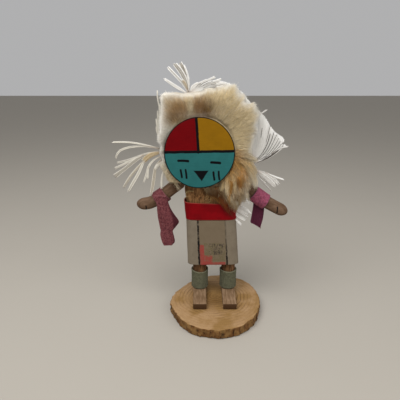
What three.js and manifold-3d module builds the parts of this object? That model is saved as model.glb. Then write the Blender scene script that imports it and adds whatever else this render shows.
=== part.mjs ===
// A small sun-face kachina doll standing on a slice of a log.
// Millimetres, +Z up, the doll faces -Y. The origin is the middle of the slice's underside.
// Left and right are as seen from the front, so left is -X.
import * as THREE from 'three';
import { mergeVertices } from 'three/addons/utils/BufferGeometryUtils.js';
import ManifoldModule from 'manifold-3d';

const wasm = await ManifoldModule();
wasm.setup();

// ---------------------------------------------------------------- driving dimensions

const GAP = 0.3; // air between neighbouring pieces
const FIGURE_Y = 15.6; // depth of the middle of the body and legs
const ARM_Y = 14;

const BASE = {
  thickness: 9.5,
  radii: [42.3, 45.5, 48.2, 46.7, 41.5, 40, 42.2, 42.5, 46.5, 47.7, 46.8, 43.2], // every 30 degrees
  barkFlake: { angle: 3.29, spread: 0.1, height: 1.6 },
};
const FOOT = { width: 12.4, length: 40, height: 5.5, chamfer: 1, front: -17.6 };
const LEG = { x: { left: -14.8, right: 12.8 }, radius: 6.5 };
const WRAP = { bottom: 16.2, height: 18.2, radius: 8.35 };
const KILT = { bottom: 43, top: 88, wall: 1.2, squareness: 4.6 };
const BAND = { bottom: 88.3, top: 104.4, slope: 0.035 };
const MASK = { x: -15, y: 0.4, z: 151.7, radius: 30.1, thickness: 4, tilt: THREE.MathUtils.degToRad(-6) };
const HEAD = { x: -12.5, y: 15.4, z: 149, halfWidth: 19, halfDepth: 8.6, halfHeight: 25 };
const ARM = { halfWidth: 6, halfDepth: 5.3 };
const STRAP_WALL = 1.3;

const FOOT_BOTTOM = BASE.thickness + GAP;
const LEG_BOTTOM = FOOT_BOTTOM + FOOT.height + GAP;
const BODY_BOTTOM = KILT.bottom + 1;

// ---------------------------------------------------------------- helpers

const clamp01 = (value) => Math.min(1, Math.max(0, value));
const lerp = THREE.MathUtils.lerp;
const smooth = (value) => THREE.MathUtils.smoothstep(value, 0, 1);

// A repeatable spread of values from 0 to 1, for the unevenness of hair and bark.
const uneven = (index) => {
  const value = Math.sin(index * 12.9898 + 4.137) * 43758.5453;
  return value - Math.floor(value);
};

// The value at `at` of a smooth line through evenly spaced values.
function along(values, at) {
  const points = values.map((value, index) => new THREE.Vector3(index, value, 0));
  return new THREE.CatmullRomCurve3(points).getPoint(clamp01(at)).y;
}

function signedVolume(positions, indices) {
  const [a, b, c] = [new THREE.Vector3(), new THREE.Vector3(), new THREE.Vector3()];
  let volume = 0;
  for (let i = 0; i < indices.length; i += 3) {
    a.fromArray(positions, indices[i] * 3);
    b.fromArray(positions, indices[i + 1] * 3);
    c.fromArray(positions, indices[i + 2] * 3);
    volume += a.dot(b.cross(c)) / 6;
  }
  return volume;
}

// A closed skin over rings of points. A `hollow` skin joins its last ring to its first.
function loft(rings, { hollow = false } = {}) {
  const count = rings[0].length;
  const positions = rings.flat().flatMap((point) => point.toArray());
  const indices = [];
  const bands = hollow ? rings.length : rings.length - 1;
  for (let r = 0; r < bands; r += 1) {
    for (let i = 0; i < count; i += 1) {
      const here = r * count;
      const next = ((r + 1) % rings.length) * count;
      const j = (i + 1) % count;
      indices.push(here + i, here + j, next + j, here + i, next + j, next + i);
    }
  }
  const cap = (first, flipped) => {
    const middle = new THREE.Vector3();
    for (let i = 0; i < count; i += 1) middle.add(new THREE.Vector3().fromArray(positions, (first + i) * 3));
    const apex = positions.push(...middle.divideScalar(count).toArray()) / 3 - 1;
    for (let i = 0; i < count; i += 1) {
      const edge = [first + i, first + ((i + 1) % count)];
      indices.push(...(flipped ? edge.toReversed() : edge), apex);
    }
  };
  if (!hollow) {
    cap(0, true);
    cap((rings.length - 1) * count, false);
  }
  if (signedVolume(positions, indices) < 0) indices.reverse();
  const geometry = new THREE.BufferGeometry();
  geometry.setAttribute('position', new THREE.Float32BufferAttribute(positions, 3));
  geometry.setIndex(indices);
  return geometry;
}

// A level ring shaped between an oval (squareness 2) and a rectangle (squareness 8).
function levelRing({ x, y = FIGURE_Y, z, halfWidth, halfDepth, squareness = 2, count = 28, slope = 0 }) {
  return Array.from({ length: count }, (_, i) => {
    const angle = (2 * Math.PI * i) / count;
    const [c, s] = [Math.cos(angle), Math.sin(angle)];
    const power = 2 / squareness;
    const dx = halfWidth * Math.sign(c) * Math.abs(c) ** power;
    return new THREE.Vector3(x + dx, y + halfDepth * Math.sign(s) * Math.abs(s) ** power, z - slope * dx);
  });
}

// A closed solid swept along a smooth curve. halfWidth lies across the curve as the viewer sees it
// and halfDepth towards the viewer; both are functions of the place along the curve, 0 to 1.
function sweep(curve, { halfWidth, halfDepth, sides = 4, steps = 5, places, grow = 0 }) {
  const rings = [];
  for (const t of places ?? Array.from({ length: steps + 1 }, (_, i) => i / steps)) {
    const tangent = curve.getTangentAt(t);
    const towards = Math.abs(tangent.y) < 0.85 ? new THREE.Vector3(0, 1, 0) : new THREE.Vector3(0, 0, 1);
    const across = new THREE.Vector3().crossVectors(tangent, towards).normalize();
    const depth = new THREE.Vector3().crossVectors(across, tangent).normalize();
    const middle = curve.getPointAt(t);
    rings.push(Array.from({ length: sides }, (_, k) => {
      const angle = (2 * Math.PI * k) / sides;
      return middle.clone()
        .addScaledVector(across, (halfWidth(t) + grow) * Math.cos(angle))
        .addScaledVector(depth, (halfDepth(t) + grow) * Math.sin(angle));
    }));
  }
  return loft(rings);
}

const curveThrough = (...points) => new THREE.CatmullRomCurve3(
  points.map(([x, y, z]) => new THREE.Vector3(x, y, z)), false, 'centripetal');

function solid(geometry) {
  const bare = geometry.clone();
  for (const name of Object.keys(bare.attributes)) {
    if (name !== 'position') bare.deleteAttribute(name);
  }
  const merged = mergeVertices(bare, 1e-4);
  return new wasm.Manifold(new wasm.Mesh({
    numProp: 3,
    vertProperties: new Float32Array(merged.attributes.position.array),
    triVerts: new Uint32Array(merged.index.array),
  }));
}

const joined = (geometries) => geometries.map(solid).reduce((sum, next) => sum.add(next));

// The largest connected body of a solid, so that no cut leaves loose crumbs.
function mainBody(shape) {
  return shape.decompose().reduce((best, next) => (next.volume() > best.volume() ? next : best));
}

function geometryOf(shape) {
  const mesh = shape.getMesh();
  const geometry = new THREE.BufferGeometry();
  geometry.setAttribute('position', new THREE.Float32BufferAttribute(mesh.vertProperties, mesh.numProp));
  geometry.setIndex(Array.from(mesh.triVerts));
  return geometry;
}

function ellipsoid([x, y, z], [rx, ry, rz], grow = 0, around = 12, up = 8) {
  return new THREE.SphereGeometry(1, around, up)
    .rotateX(Math.PI / 2)
    .scale(rx + grow, ry + grow, rz + grow)
    .translate(x, y, z);
}

const doll = new THREE.Group();

function addPiece(name, shape, color, roughness, place = {}) {
  const geometry = shape.isBufferGeometry ? shape : geometryOf(shape);
  const mesh = new THREE.Mesh(geometry, new THREE.MeshStandardMaterial({ color, roughness, metalness: 0 }));
  mesh.name = name;
  if (place.position) mesh.position.set(...place.position);
  if (place.rotation) mesh.rotation.set(...place.rotation);
  doll.add(mesh);
}

// ---------------------------------------------------------------- log slice

function baseSlice() {
  const corners = BASE.radii.map((radius, i) => {
    const angle = (2 * Math.PI * i) / BASE.radii.length;
    return new THREE.Vector3(radius * Math.cos(angle), radius * Math.sin(angle), 0);
  });
  const outline = new THREE.CatmullRomCurve3(corners, true);
  const count = 54;
  const layers = [[0, 0.9], [0.9, 0], [4.5, -0.3], [8.7, 0], [BASE.thickness, 0.5]];
  const rings = layers.map(([z, inset], layer) => Array.from({ length: count }, (_, i) => {
    const point = outline.getPoint(i / count);
    const angle = Math.atan2(point.y, point.x);
    const ripple = 0.45 * Math.sin(9 * angle + 1.3) + 0.3 * Math.sin(23 * angle + 0.7 * layer);
    const turn = Math.abs(Math.atan2(Math.sin(angle - BASE.barkFlake.angle), Math.cos(angle - BASE.barkFlake.angle)));
    const onSide = layer > 0 && layer < 4 ? 1 : 0;
    const flake = onSide * BASE.barkFlake.height * Math.exp(-((turn / BASE.barkFlake.spread) ** 2));
    const radius = point.length() - inset + ripple + flake;
    return new THREE.Vector3(radius * Math.cos(angle), radius * Math.sin(angle), z);
  }));
  return loft(rings);
}

// ---------------------------------------------------------------- feet and legs

function foot() {
  const { length, height, chamfer, width } = FOOT;
  const side = new THREE.Shape([
    new THREE.Vector2(0, 0),
    new THREE.Vector2(length, 0),
    new THREE.Vector2(length, height),
    new THREE.Vector2(chamfer, height),
    new THREE.Vector2(0, height - chamfer),
  ]);
  return new THREE.ExtrudeGeometry(side, { depth: width, bevelEnabled: false })
    .rotateX(Math.PI / 2)
    .rotateZ(Math.PI / 2)
    .translate(-width / 2, 0, 0);
}

function leg() {
  const height = BODY_BOTTOM - GAP - LEG_BOTTOM;
  return new THREE.CylinderGeometry(LEG.radius, LEG.radius, height, 24)
    .rotateX(Math.PI / 2)
    .translate(0, 0, height / 2);
}

function legWrap() {
  const { height, radius } = WRAP;
  const inside = LEG.radius + GAP;
  const profile = [
    [inside, 0], [radius, 0], [radius - 0.2, height * 0.45], [radius, height], [inside, height], [inside, 0],
  ].map(([r, z]) => new THREE.Vector2(r, z));
  return new THREE.LatheGeometry(profile, 24).rotateX(Math.PI / 2);
}

// ---------------------------------------------------------------- body

// The body leans a little towards the left as it goes up.
const bodyX = (z) => -1 - 0.052 * (z - 24);

// Half widths and half depths of the board up the body, with the shoulders rounded off at the top.
const BODY_LEVELS = [
  { z: BODY_BOTTOM, halfWidth: 22.6, halfDepth: 8.4 },
  { z: 104, halfWidth: 21.8, halfDepth: 8.4 },
  { z: 116, halfWidth: 23, halfDepth: 8.6 },
  { z: 122.5, halfWidth: 21.6, halfDepth: 8.3 },
  { z: 127, halfWidth: 17, halfDepth: 7.8 },
  { z: 130, halfWidth: 11, halfDepth: 7 },
];
const CHEST = { offset: 10.4, z: 116.6, y: 7.6, radii: [7.6, 3.2, 7.4] };

function body(grow = 0) {
  const trunk = loft(BODY_LEVELS.map(({ z, halfWidth, halfDepth }, i) => levelRing({
    x: bodyX(z),
    z: z + (i === 0 ? -grow : 0) + (i === BODY_LEVELS.length - 1 ? grow : 0),
    halfWidth: halfWidth + grow,
    halfDepth: halfDepth + grow,
    squareness: KILT.squareness,
  })));
  const head = ellipsoid([HEAD.x, HEAD.y, HEAD.z], [HEAD.halfWidth, HEAD.halfDepth, HEAD.halfHeight], grow, 16, 8);
  const chest = [-1, 1].map((side) => ellipsoid(
    [bodyX(CHEST.z) + side * CHEST.offset, CHEST.y, CHEST.z], CHEST.radii, grow, 10, 8));
  return joined([trunk, head, ...chest]);
}

// A sleeve of soft leather round the body.
function sleeve(levels, slope = 0) {
  const ring = (level, inset) => levelRing({
    ...level,
    halfWidth: level.halfWidth - inset,
    halfDepth: level.halfDepth - inset,
    squareness: KILT.squareness,
    count: 40,
    slope: level.sloped ? slope : 0,
  });
  return loft([
    ...levels.map((level) => ring(level, 0)),
    ...levels.toReversed().map((level) => ring(level, KILT.wall)),
  ], { hollow: true });
}

const kilt = () => sleeve([
  { x: bodyX(KILT.bottom), z: KILT.bottom, halfWidth: 24.4, halfDepth: 10.2 },
  { x: bodyX(62), z: 62, halfWidth: 24, halfDepth: 10 },
  { x: bodyX(KILT.top), z: KILT.top, halfWidth: 23.2, halfDepth: 9.9 },
]);

const BAND_LEVELS = [
  { x: bodyX(BAND.bottom), z: BAND.bottom, halfWidth: 23.5, halfDepth: 10.2 },
  { x: bodyX(BAND.top), z: BAND.top, halfWidth: 24.2, halfDepth: 10.3, sloped: true },
];
const waistBand = () => sleeve(BAND_LEVELS, BAND.slope);

// ---------------------------------------------------------------- arms and their straps

// The middle line of each arm, from inside the shoulder to the middle of the rounded hand.
const ARM_LINES = {
  left: curveThrough([-22, ARM_Y, 130], [-39, ARM_Y, 117.2], [-52, ARM_Y, 107], [-60, ARM_Y, 102.6], [-72.8, ARM_Y, 101]),
  right: curveThrough([14, ARM_Y, 127], [35, ARM_Y, 111], [46.5, ARM_Y, 103.2], [66, ARM_Y, 92.6]),
};
const HAND_SHARE = 0.12; // the part of the arm's length in which the hand rounds off

function arm(side, grow = 0) {
  const rounding = (t) => Math.sqrt(Math.max(0.12, 1 - clamp01((t - 1 + HAND_SHARE) / HAND_SHARE) ** 2));
  const geometry = sweep(ARM_LINES[side], {
    halfWidth: (t) => ARM.halfWidth * rounding(t),
    halfDepth: (t) => ARM.halfDepth * rounding(t),
    sides: 12,
    places: [0, 0.2, 0.4, 0.5, 0.6, 0.7, 0.8, 1 - HAND_SHARE, 1 - 0.6 * HAND_SHARE, 1 - 0.25 * HAND_SHARE, 1],
    grow,
  });
  return solid(geometry);
}

// Where each strap lies: the stretch of the arm that it goes round, and the hanging tail.
const STRAPS = {
  left: {
    from: 0.5, to: 0.68, tailY: 7.2, tailDepth: 2.6,
    tail: [[-57, 106], [-53.4, 95.6], [-52.6, 83], [-50.4, 78], [-51, 70], [-48.5, 61.4],
      [-43, 62.4], [-38.4, 65.4], [-40.6, 76.8], [-34.1, 83.8], [-43, 102], [-47, 104]],
  },
  right: {
    from: 0.4, to: 0.63, tailY: 17.6, tailDepth: 1.6,
    tail: [[35.4, 103], [33.2, 81], [42.6, 76.4], [44.8, 87], [45.2, 98]],
  },
};

function strap(side) {
  const { from, to, tail, tailY, tailDepth } = STRAPS[side];
  const loop = solid(sweep(ARM_LINES[side], {
    halfWidth: () => ARM.halfWidth,
    halfDepth: () => ARM.halfDepth,
    sides: 12,
    places: [from, (from + to) / 2, to],
    grow: GAP + STRAP_WALL,
  }));
  const flat = new THREE.ExtrudeGeometry(
    new THREE.Shape(tail.map(([x, z]) => new THREE.Vector2(x, z))), { depth: tailDepth, bevelEnabled: false })
    .rotateX(Math.PI / 2)
    .translate(0, tailY + tailDepth, 0);
  return mainBody(loop.add(solid(flat)).subtract(arm(side, GAP)));
}

// ---------------------------------------------------------------- mask

function mask(grow = 0) {
  return new THREE.CylinderGeometry(MASK.radius + grow, MASK.radius + grow, MASK.thickness + 2 * grow, 48);
}

const maskInPlace = (grow) => solid(mask(grow).rotateX(MASK.tilt).translate(MASK.x, MASK.y, MASK.z));

// ---------------------------------------------------------------- feathers

// One clump of trimmed barbs: it leaves `root`, bows sideways by `arch` and ends at `tip`, blunt.
function clump(root, tip, { arch = 0, width = 1.6, depth = 1, tipShare = 0.55, grow = 0, sides = 3, steps = 4 }) {
  const [start, end] = [new THREE.Vector3(...root), new THREE.Vector3(...tip)];
  const run = end.clone().sub(start);
  const sideways = new THREE.Vector3(-run.z, 0, run.x).normalize().multiplyScalar(arch);
  const middle = start.clone().lerp(end, 0.55).add(sideways);
  const curve = new THREE.QuadraticBezierCurve3(start, middle.multiplyScalar(2).sub(start.clone().add(end).multiplyScalar(0.5)), end);
  return sweep(curve, {
    halfWidth: (t) => (width / 2) * lerp(0.55, 1, smooth(t * 2)) * lerp(1, tipShare, smooth(t * 3 - 2)),
    halfDepth: (t) => (depth / 2) * lerp(1, 0.7, t),
    sides,
    steps,
    grow,
  });
}

// A bunch: clumps [tip x, tip z, arch, width, tip y] that leave one tied end together.
function bunch(root, knot, clumps, { depth = 1.2 } = {}) {
  return (grow = 0) => joined([
    ellipsoid(root, knot, grow, 6, 4),
    ...clumps.map(([x, z, arch, width, y = root[1]]) => clump(root, [x, y, z], { arch, width, depth, grow })),
  ]);
}

const topFeathers = bunch([-24, 19, 198.5], [1.8, 1.4, 2], [
  [-45.1, 212.6, -1.5, 2.3, 16],
  [-41.9, 221.2, 1, 2.9, 18],
  [-38.1, 224, 1.5, 3.3, 20],
  [-27.4, 222.6, -1, 2.8, 21],
  [-24, 213.3, 0.5, 1.6, 17],
  [-49.5, 195.4, -1.5, 1.9, 17],
]);

const leftFeathers = bunch([-50, 12, 150], [1.8, 1.4, 2.4], [
  [-91.3, 159, -2.5, 1.5, 10],
  [-89.2, 144, -9, 1.5, 12],
  [-88.6, 139.7, -3.4, 1.6, 14],
  [-89.8, 134.9, -1.8, 1.6, 10],
  [-91.3, 127.3, -2.6, 3.2, 12],
  [-83.5, 116.6, -3, 2.6, 13],
  [-78.4, 113.4, -3.6, 2.2, 10],
  [-65.1, 121.6, -3.4, 1.8, 12],
  [-60.8, 124.6, -2.4, 1.8, 11],
  [-58.4, 118.5, -2, 1.8, 7.5],
]);

// The quill that stands up the left side with its short vane.
const leftSideFeather = (grow = 0) => joined([
  sweep(curveThrough([-48.4, 8.5, 153.5], [-51, 9, 178], [-50.3, 9.5, 203]), {
    halfWidth: (t) => 1.5 * lerp(1, 0.4, smooth(t * 2 - 1)), halfDepth: () => 0.9, steps: 5, grow,
  }),
  sweep(curveThrough([-47.6, 8.5, 155], [-49.4, 9, 174], [-48.2, 9.5, 194]), {
    halfWidth: (t) => 3.4 * Math.sqrt(Math.max(0.08, Math.sin(Math.PI * t))), halfDepth: () => 0.8, steps: 5, grow,
  }),
]);

// The wide fan on the right: blades leave one root, each as long as the trimmed edge allows.
const FAN = { root: [34.3, 21, 137.6], halfDepth: 1.6, firstAngle: 36, lastAngle: 131, blades: 14 };
const FAN_REACH = [34, 36, 37.5, 46, 58.5, 83.5, 88]; // mm from the root, evenly spaced over the angles

function rightUpperFeathers(grow = 0) {
  const blades = Array.from({ length: FAN.blades }, (_, i) => {
    const share = i / (FAN.blades - 1);
    const angle = THREE.MathUtils.degToRad(lerp(FAN.firstAngle, FAN.lastAngle, share));
    const reach = along(FAN_REACH, share) + 3 * (uneven(i) - 0.5);
    const [x, y, z] = FAN.root;
    const tip = [x + reach * Math.cos(angle), y + 2 + 1.6 * Math.sin(5 * share), z + reach * Math.sin(angle)];
    const width = reach * 0.155;
    return clump([x, y, z], tip, { arch: 2.5 - 2 * share, width, depth: 2, tipShare: 0.75, grow, sides: 4, steps: 3 });
  });
  return joined([ellipsoid(FAN.root, [3, FAN.halfDepth, 3], grow, 6, 4), ...blades]);
}

const rightLowerFeathers = bunch([37.6, 13, 134], [1.8, 1.4, 2], [
  [61.2, 124.3, 1.5, 1.5, 12],
  [53.1, 125.3, 1.2, 3, 13],
  [56.4, 118.6, 1, 3.4, 14],
  [52.2, 118.4, 0.5, 3.2, 12],
  [46.6, 120.8, -0.5, 2.6, 13],
  [51.6, 112.9, -1.8, 1.3, 16],
]);

const bottomFeathers = bunch([23, 11, 107.5], [2.2, 1.6, 2.4], [
  [31.2, 104, 1.2, 2.6, 8],
  [31.6, 97.5, 0.8, 3.6, 10],
  [31, 92, 0.4, 4.2, 9],
  [27.4, 87.6, 0, 4.2, 11],
  [23.6, 82.8, -0.6, 2.2, 10],
  [22.4, 92, -0.2, 3.4, 12],
]);

const FEATHERS = {
  top_feathers: topFeathers,
  left_side_feather: leftSideFeather,
  left_feathers: leftFeathers,
  right_upper_feathers: rightUpperFeathers,
  right_lower_feathers: rightLowerFeathers,
  bottom_feathers: bottomFeathers,
};

// ---------------------------------------------------------------- fur ruff

// How far the fur reaches from the mask's middle, in mm, every 15 degrees from +X upwards.
const RUFF_REACH = [
  44, 46, 53, 55, 57, 55, 49, 49, 53, 45, 38, 34.5, 33,
  33.5, 35.5, 36, 31, 29, 30, 40, 46, 50, 52, 48,
];
// The fur from front to back: depth, share of the reach, and how deep the locks are cut into it.
const RUFF_RINGS = [
  { y: 4.5, share: 0.58, cut: 0 },
  { y: 0.5, share: 0.72, cut: 0.02 },
  { y: 0.8, share: 0.86, cut: 0.05 },
  { y: 5, share: 1, cut: 0.11 },
  { y: 15, share: 0.97, cut: 0.09 },
  { y: 23, share: 0.93, cut: 0.1 },
  { y: 28.5, share: 0.74, cut: 0.06 },
  { y: 31.5, share: 0.42, cut: 0.03 },
];
const RUFF_POINTS = 54; // three to a lock
const HANGING_LOCKS = 7;

function furMass() {
  const reach = new THREE.CatmullRomCurve3(RUFF_REACH.map((radius, i) => {
    const angle = (2 * Math.PI * i) / RUFF_REACH.length;
    return new THREE.Vector3(radius * Math.cos(angle), 0, radius * Math.sin(angle));
  }), true);
  const lockShape = [1, 0.1, -0.6]; // tip, flank and valley of one lock
  return loft(RUFF_RINGS.map(({ y, share, cut }, row) => Array.from({ length: RUFF_POINTS }, (_, i) => {
    const edge = reach.getPoint(i / RUFF_POINTS);
    const size = share * (1 + cut * lockShape[(i + row) % 3] * (0.6 + 0.8 * uneven(i + 70 * row)));
    const lean = 2 * cut * edge.length() * (uneven(i + 31 * row) - 0.5);
    return new THREE.Vector3(MASK.x + edge.x * size, y + lean, MASK.z + edge.z * size);
  })));
}

// Long strands that hang from the right of the chin over the band.
function hangingLock(index) {
  const share = index / (HANGING_LOCKS - 1);
  const top = [lerp(2, 24, share), 3.5, 124 - 4 * share];
  const tip = [lerp(-2, 20, share) + 2 * uneven(index), lerp(2.4, 5, share), 100 + 7 * uneven(index + 9)];
  const middle = [lerp(top[0], tip[0], 0.5) + 1.2, 2.6, lerp(top[2], tip[2], 0.5)];
  return sweep(curveThrough(top, middle, tip), {
    halfWidth: (t) => 2.6 * (1 - 0.8 * t), halfDepth: (t) => 1.6 * (1 - 0.7 * t), sides: 3, steps: 2,
  });
}

// The wedge behind the fur that the right fan of feathers lies in.
function fanSpace() {
  const [x, y, z] = FAN.root;
  const spread = THREE.MathUtils.degToRad(5);
  const wedge = new THREE.Shape([new THREE.Vector2(x + 6, z - 6), ...[0, 0.25, 0.5, 0.75, 1].map((share) => {
    const angle = THREE.MathUtils.degToRad(lerp(FAN.firstAngle, FAN.lastAngle, share)) + (share - 0.5) * 2 * spread;
    return new THREE.Vector2(x + 95 * Math.cos(angle), z + 95 * Math.sin(angle));
  }), new THREE.Vector2(x - 6, z - 4)]);
  return new THREE.ExtrudeGeometry(wedge, { depth: 30, bevelEnabled: false })
    .rotateX(Math.PI / 2)
    .translate(0, y - FAN.halfDepth - GAP + 30, 0);
}

const bandSpace = () => loft(BAND_LEVELS.map((level) => levelRing({
  ...level,
  z: level.sloped ? level.z + 1.2 : level.z - GAP,
  halfWidth: level.halfWidth + GAP,
  halfDepth: level.halfDepth + GAP,
  squareness: KILT.squareness,
})));

function furRuff() {
  const hanging = Array.from({ length: HANGING_LOCKS }, (_, i) => hangingLock(i));
  const neighbours = [
    body(GAP), maskInPlace(GAP), arm('left', GAP), arm('right', GAP), solid(bandSpace()), solid(fanSpace()),
    topFeathers(GAP), leftSideFeather(GAP), leftFeathers(GAP), rightLowerFeathers(GAP), bottomFeathers(GAP),
  ];
  return mainBody(neighbours.reduce((rest, next) => rest.subtract(next), joined([furMass(), ...hanging])));
}

// ---------------------------------------------------------------- the doll

const SUEDE = 0.95;
const WOOD = 0.7;
const SOFT = 1;

addPiece('base_slice', baseSlice(), '#b98f5f', WOOD);
for (const side of ['left', 'right']) {
  addPiece(`${side}_foot`, foot(), '#8d735a', WOOD, { position: [LEG.x[side], FOOT.front, FOOT_BOTTOM] });
  addPiece(`${side}_leg`, leg(), '#76502f', WOOD, { position: [LEG.x[side], FIGURE_Y, LEG_BOTTOM] });
  addPiece(`${side}_leg_wrap`, legWrap(), '#7c8069', SUEDE, { position: [LEG.x[side], FIGURE_Y, WRAP.bottom] });
}
addPiece('body', body(), '#86603c', WOOD);
addPiece('kilt', kilt(), '#a69882', SUEDE);
addPiece('waist_band', waistBand(), '#a00c1a', 0.5);
for (const side of ['left', 'right']) {
  addPiece(`${side}_arm`, mainBody(arm(side).subtract(body(GAP))), '#a08064', WOOD);
  addPiece(`${side}_arm_strap`, strap(side), side === 'left' ? '#b06070' : '#a85070', SUEDE);
}
addPiece('mask_disc', mask(), '#3f9d98', 0.6, {
  position: [MASK.x, MASK.y, MASK.z], rotation: [MASK.tilt, 0, 0],
});
for (const [name, feather] of Object.entries(FEATHERS)) {
  addPiece(name, feather(), '#f0ece2', SOFT);
}
addPiece('fur_ruff', furRuff(), '#cdb68a', SOFT);

export default doll;
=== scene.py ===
"""Looks of a small sun-face kachina doll that stands on a slice of a log.

Lengths are in millimetres in this file and turned to metres where a mesh is made. The doll faces
-Y, and left and right are as seen from the front, so left is -X. Places and sizes come from the
construction's own nodes or are chosen.
"""

from __future__ import annotations

import logging
from collections.abc import Callable, Sequence
from dataclasses import dataclass, replace
from enum import Enum
from math import atan2, cos, exp, hypot, pi, radians, sin, tau

import bmesh
import bpy
import numpy as np
from mathutils import Matrix, Vector, noise
from mathutils.bvhtree import BVHTree


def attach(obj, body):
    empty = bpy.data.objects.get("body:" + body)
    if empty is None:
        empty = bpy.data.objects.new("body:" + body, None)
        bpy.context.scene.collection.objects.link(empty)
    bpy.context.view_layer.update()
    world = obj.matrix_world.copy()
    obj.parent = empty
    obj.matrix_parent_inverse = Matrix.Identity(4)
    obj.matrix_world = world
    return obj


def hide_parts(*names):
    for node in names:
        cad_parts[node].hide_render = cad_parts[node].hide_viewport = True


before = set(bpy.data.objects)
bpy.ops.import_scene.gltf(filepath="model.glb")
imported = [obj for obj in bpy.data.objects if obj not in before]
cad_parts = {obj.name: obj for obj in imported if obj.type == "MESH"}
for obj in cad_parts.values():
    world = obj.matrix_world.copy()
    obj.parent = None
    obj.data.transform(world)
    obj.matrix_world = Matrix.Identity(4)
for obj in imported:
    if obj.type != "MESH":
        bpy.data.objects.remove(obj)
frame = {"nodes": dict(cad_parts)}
MM = 0.001
BODY = "root"
FIGURE_Y = 15.6  # depth of the middle of the body and legs
BODY_LEAN = 0.052  # how far the body's middle moves to the left for each mm of height
EDGE_BAND = 0.55  # width of the pale band along a sheet's cut edge
TINY = 1e-9  # keeps a division by a length from failing
NOISE = "TexNoise"  # takes a place, None for its unused W, a scale, a detail and a roughness
STEP = "MapRange.SMOOTHSTEP"  # takes a value, where it starts and ends, and its results there
Socket = bpy.types.NodeSocket
Material = bpy.types.Material
Mesh = bpy.types.Mesh
Nodes = dict[str, bpy.types.Object]
Random = np.random.Generator
Pair = tuple[float, float]
Spot = tuple[float, float, float]
Field = Callable[[np.ndarray], np.ndarray]
Place = Callable[[float, float], Spot]
log = logging.getLogger("kachina_doll")


class Side(Enum):
    """A side of the doll, as seen from the front."""

    LEFT = "left"
    RIGHT = "right"


# ---- colours and nodes


def srgb(code: str) -> tuple[float, float, float, float]:
    """Turn an sRGB hex colour into linear red, green, blue and alpha.

    Args:
        code: The colour as "#rrggbb".

    Returns:
        The linear colour with full alpha.
    """
    channels = [int(code[i : i + 2], 16) / 255 for i in (1, 3, 5)]
    linear = [c / 12.92 if c <= 0.04045 else ((c + 0.055) / 1.055) ** 2.4 for c in channels]
    return (*linear, 1.0)


def tones(*codes: str) -> np.ndarray:
    """Return hex colours as rows of linear red, green and blue."""
    return np.array([srgb(code)[:3] for code in codes])


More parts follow.
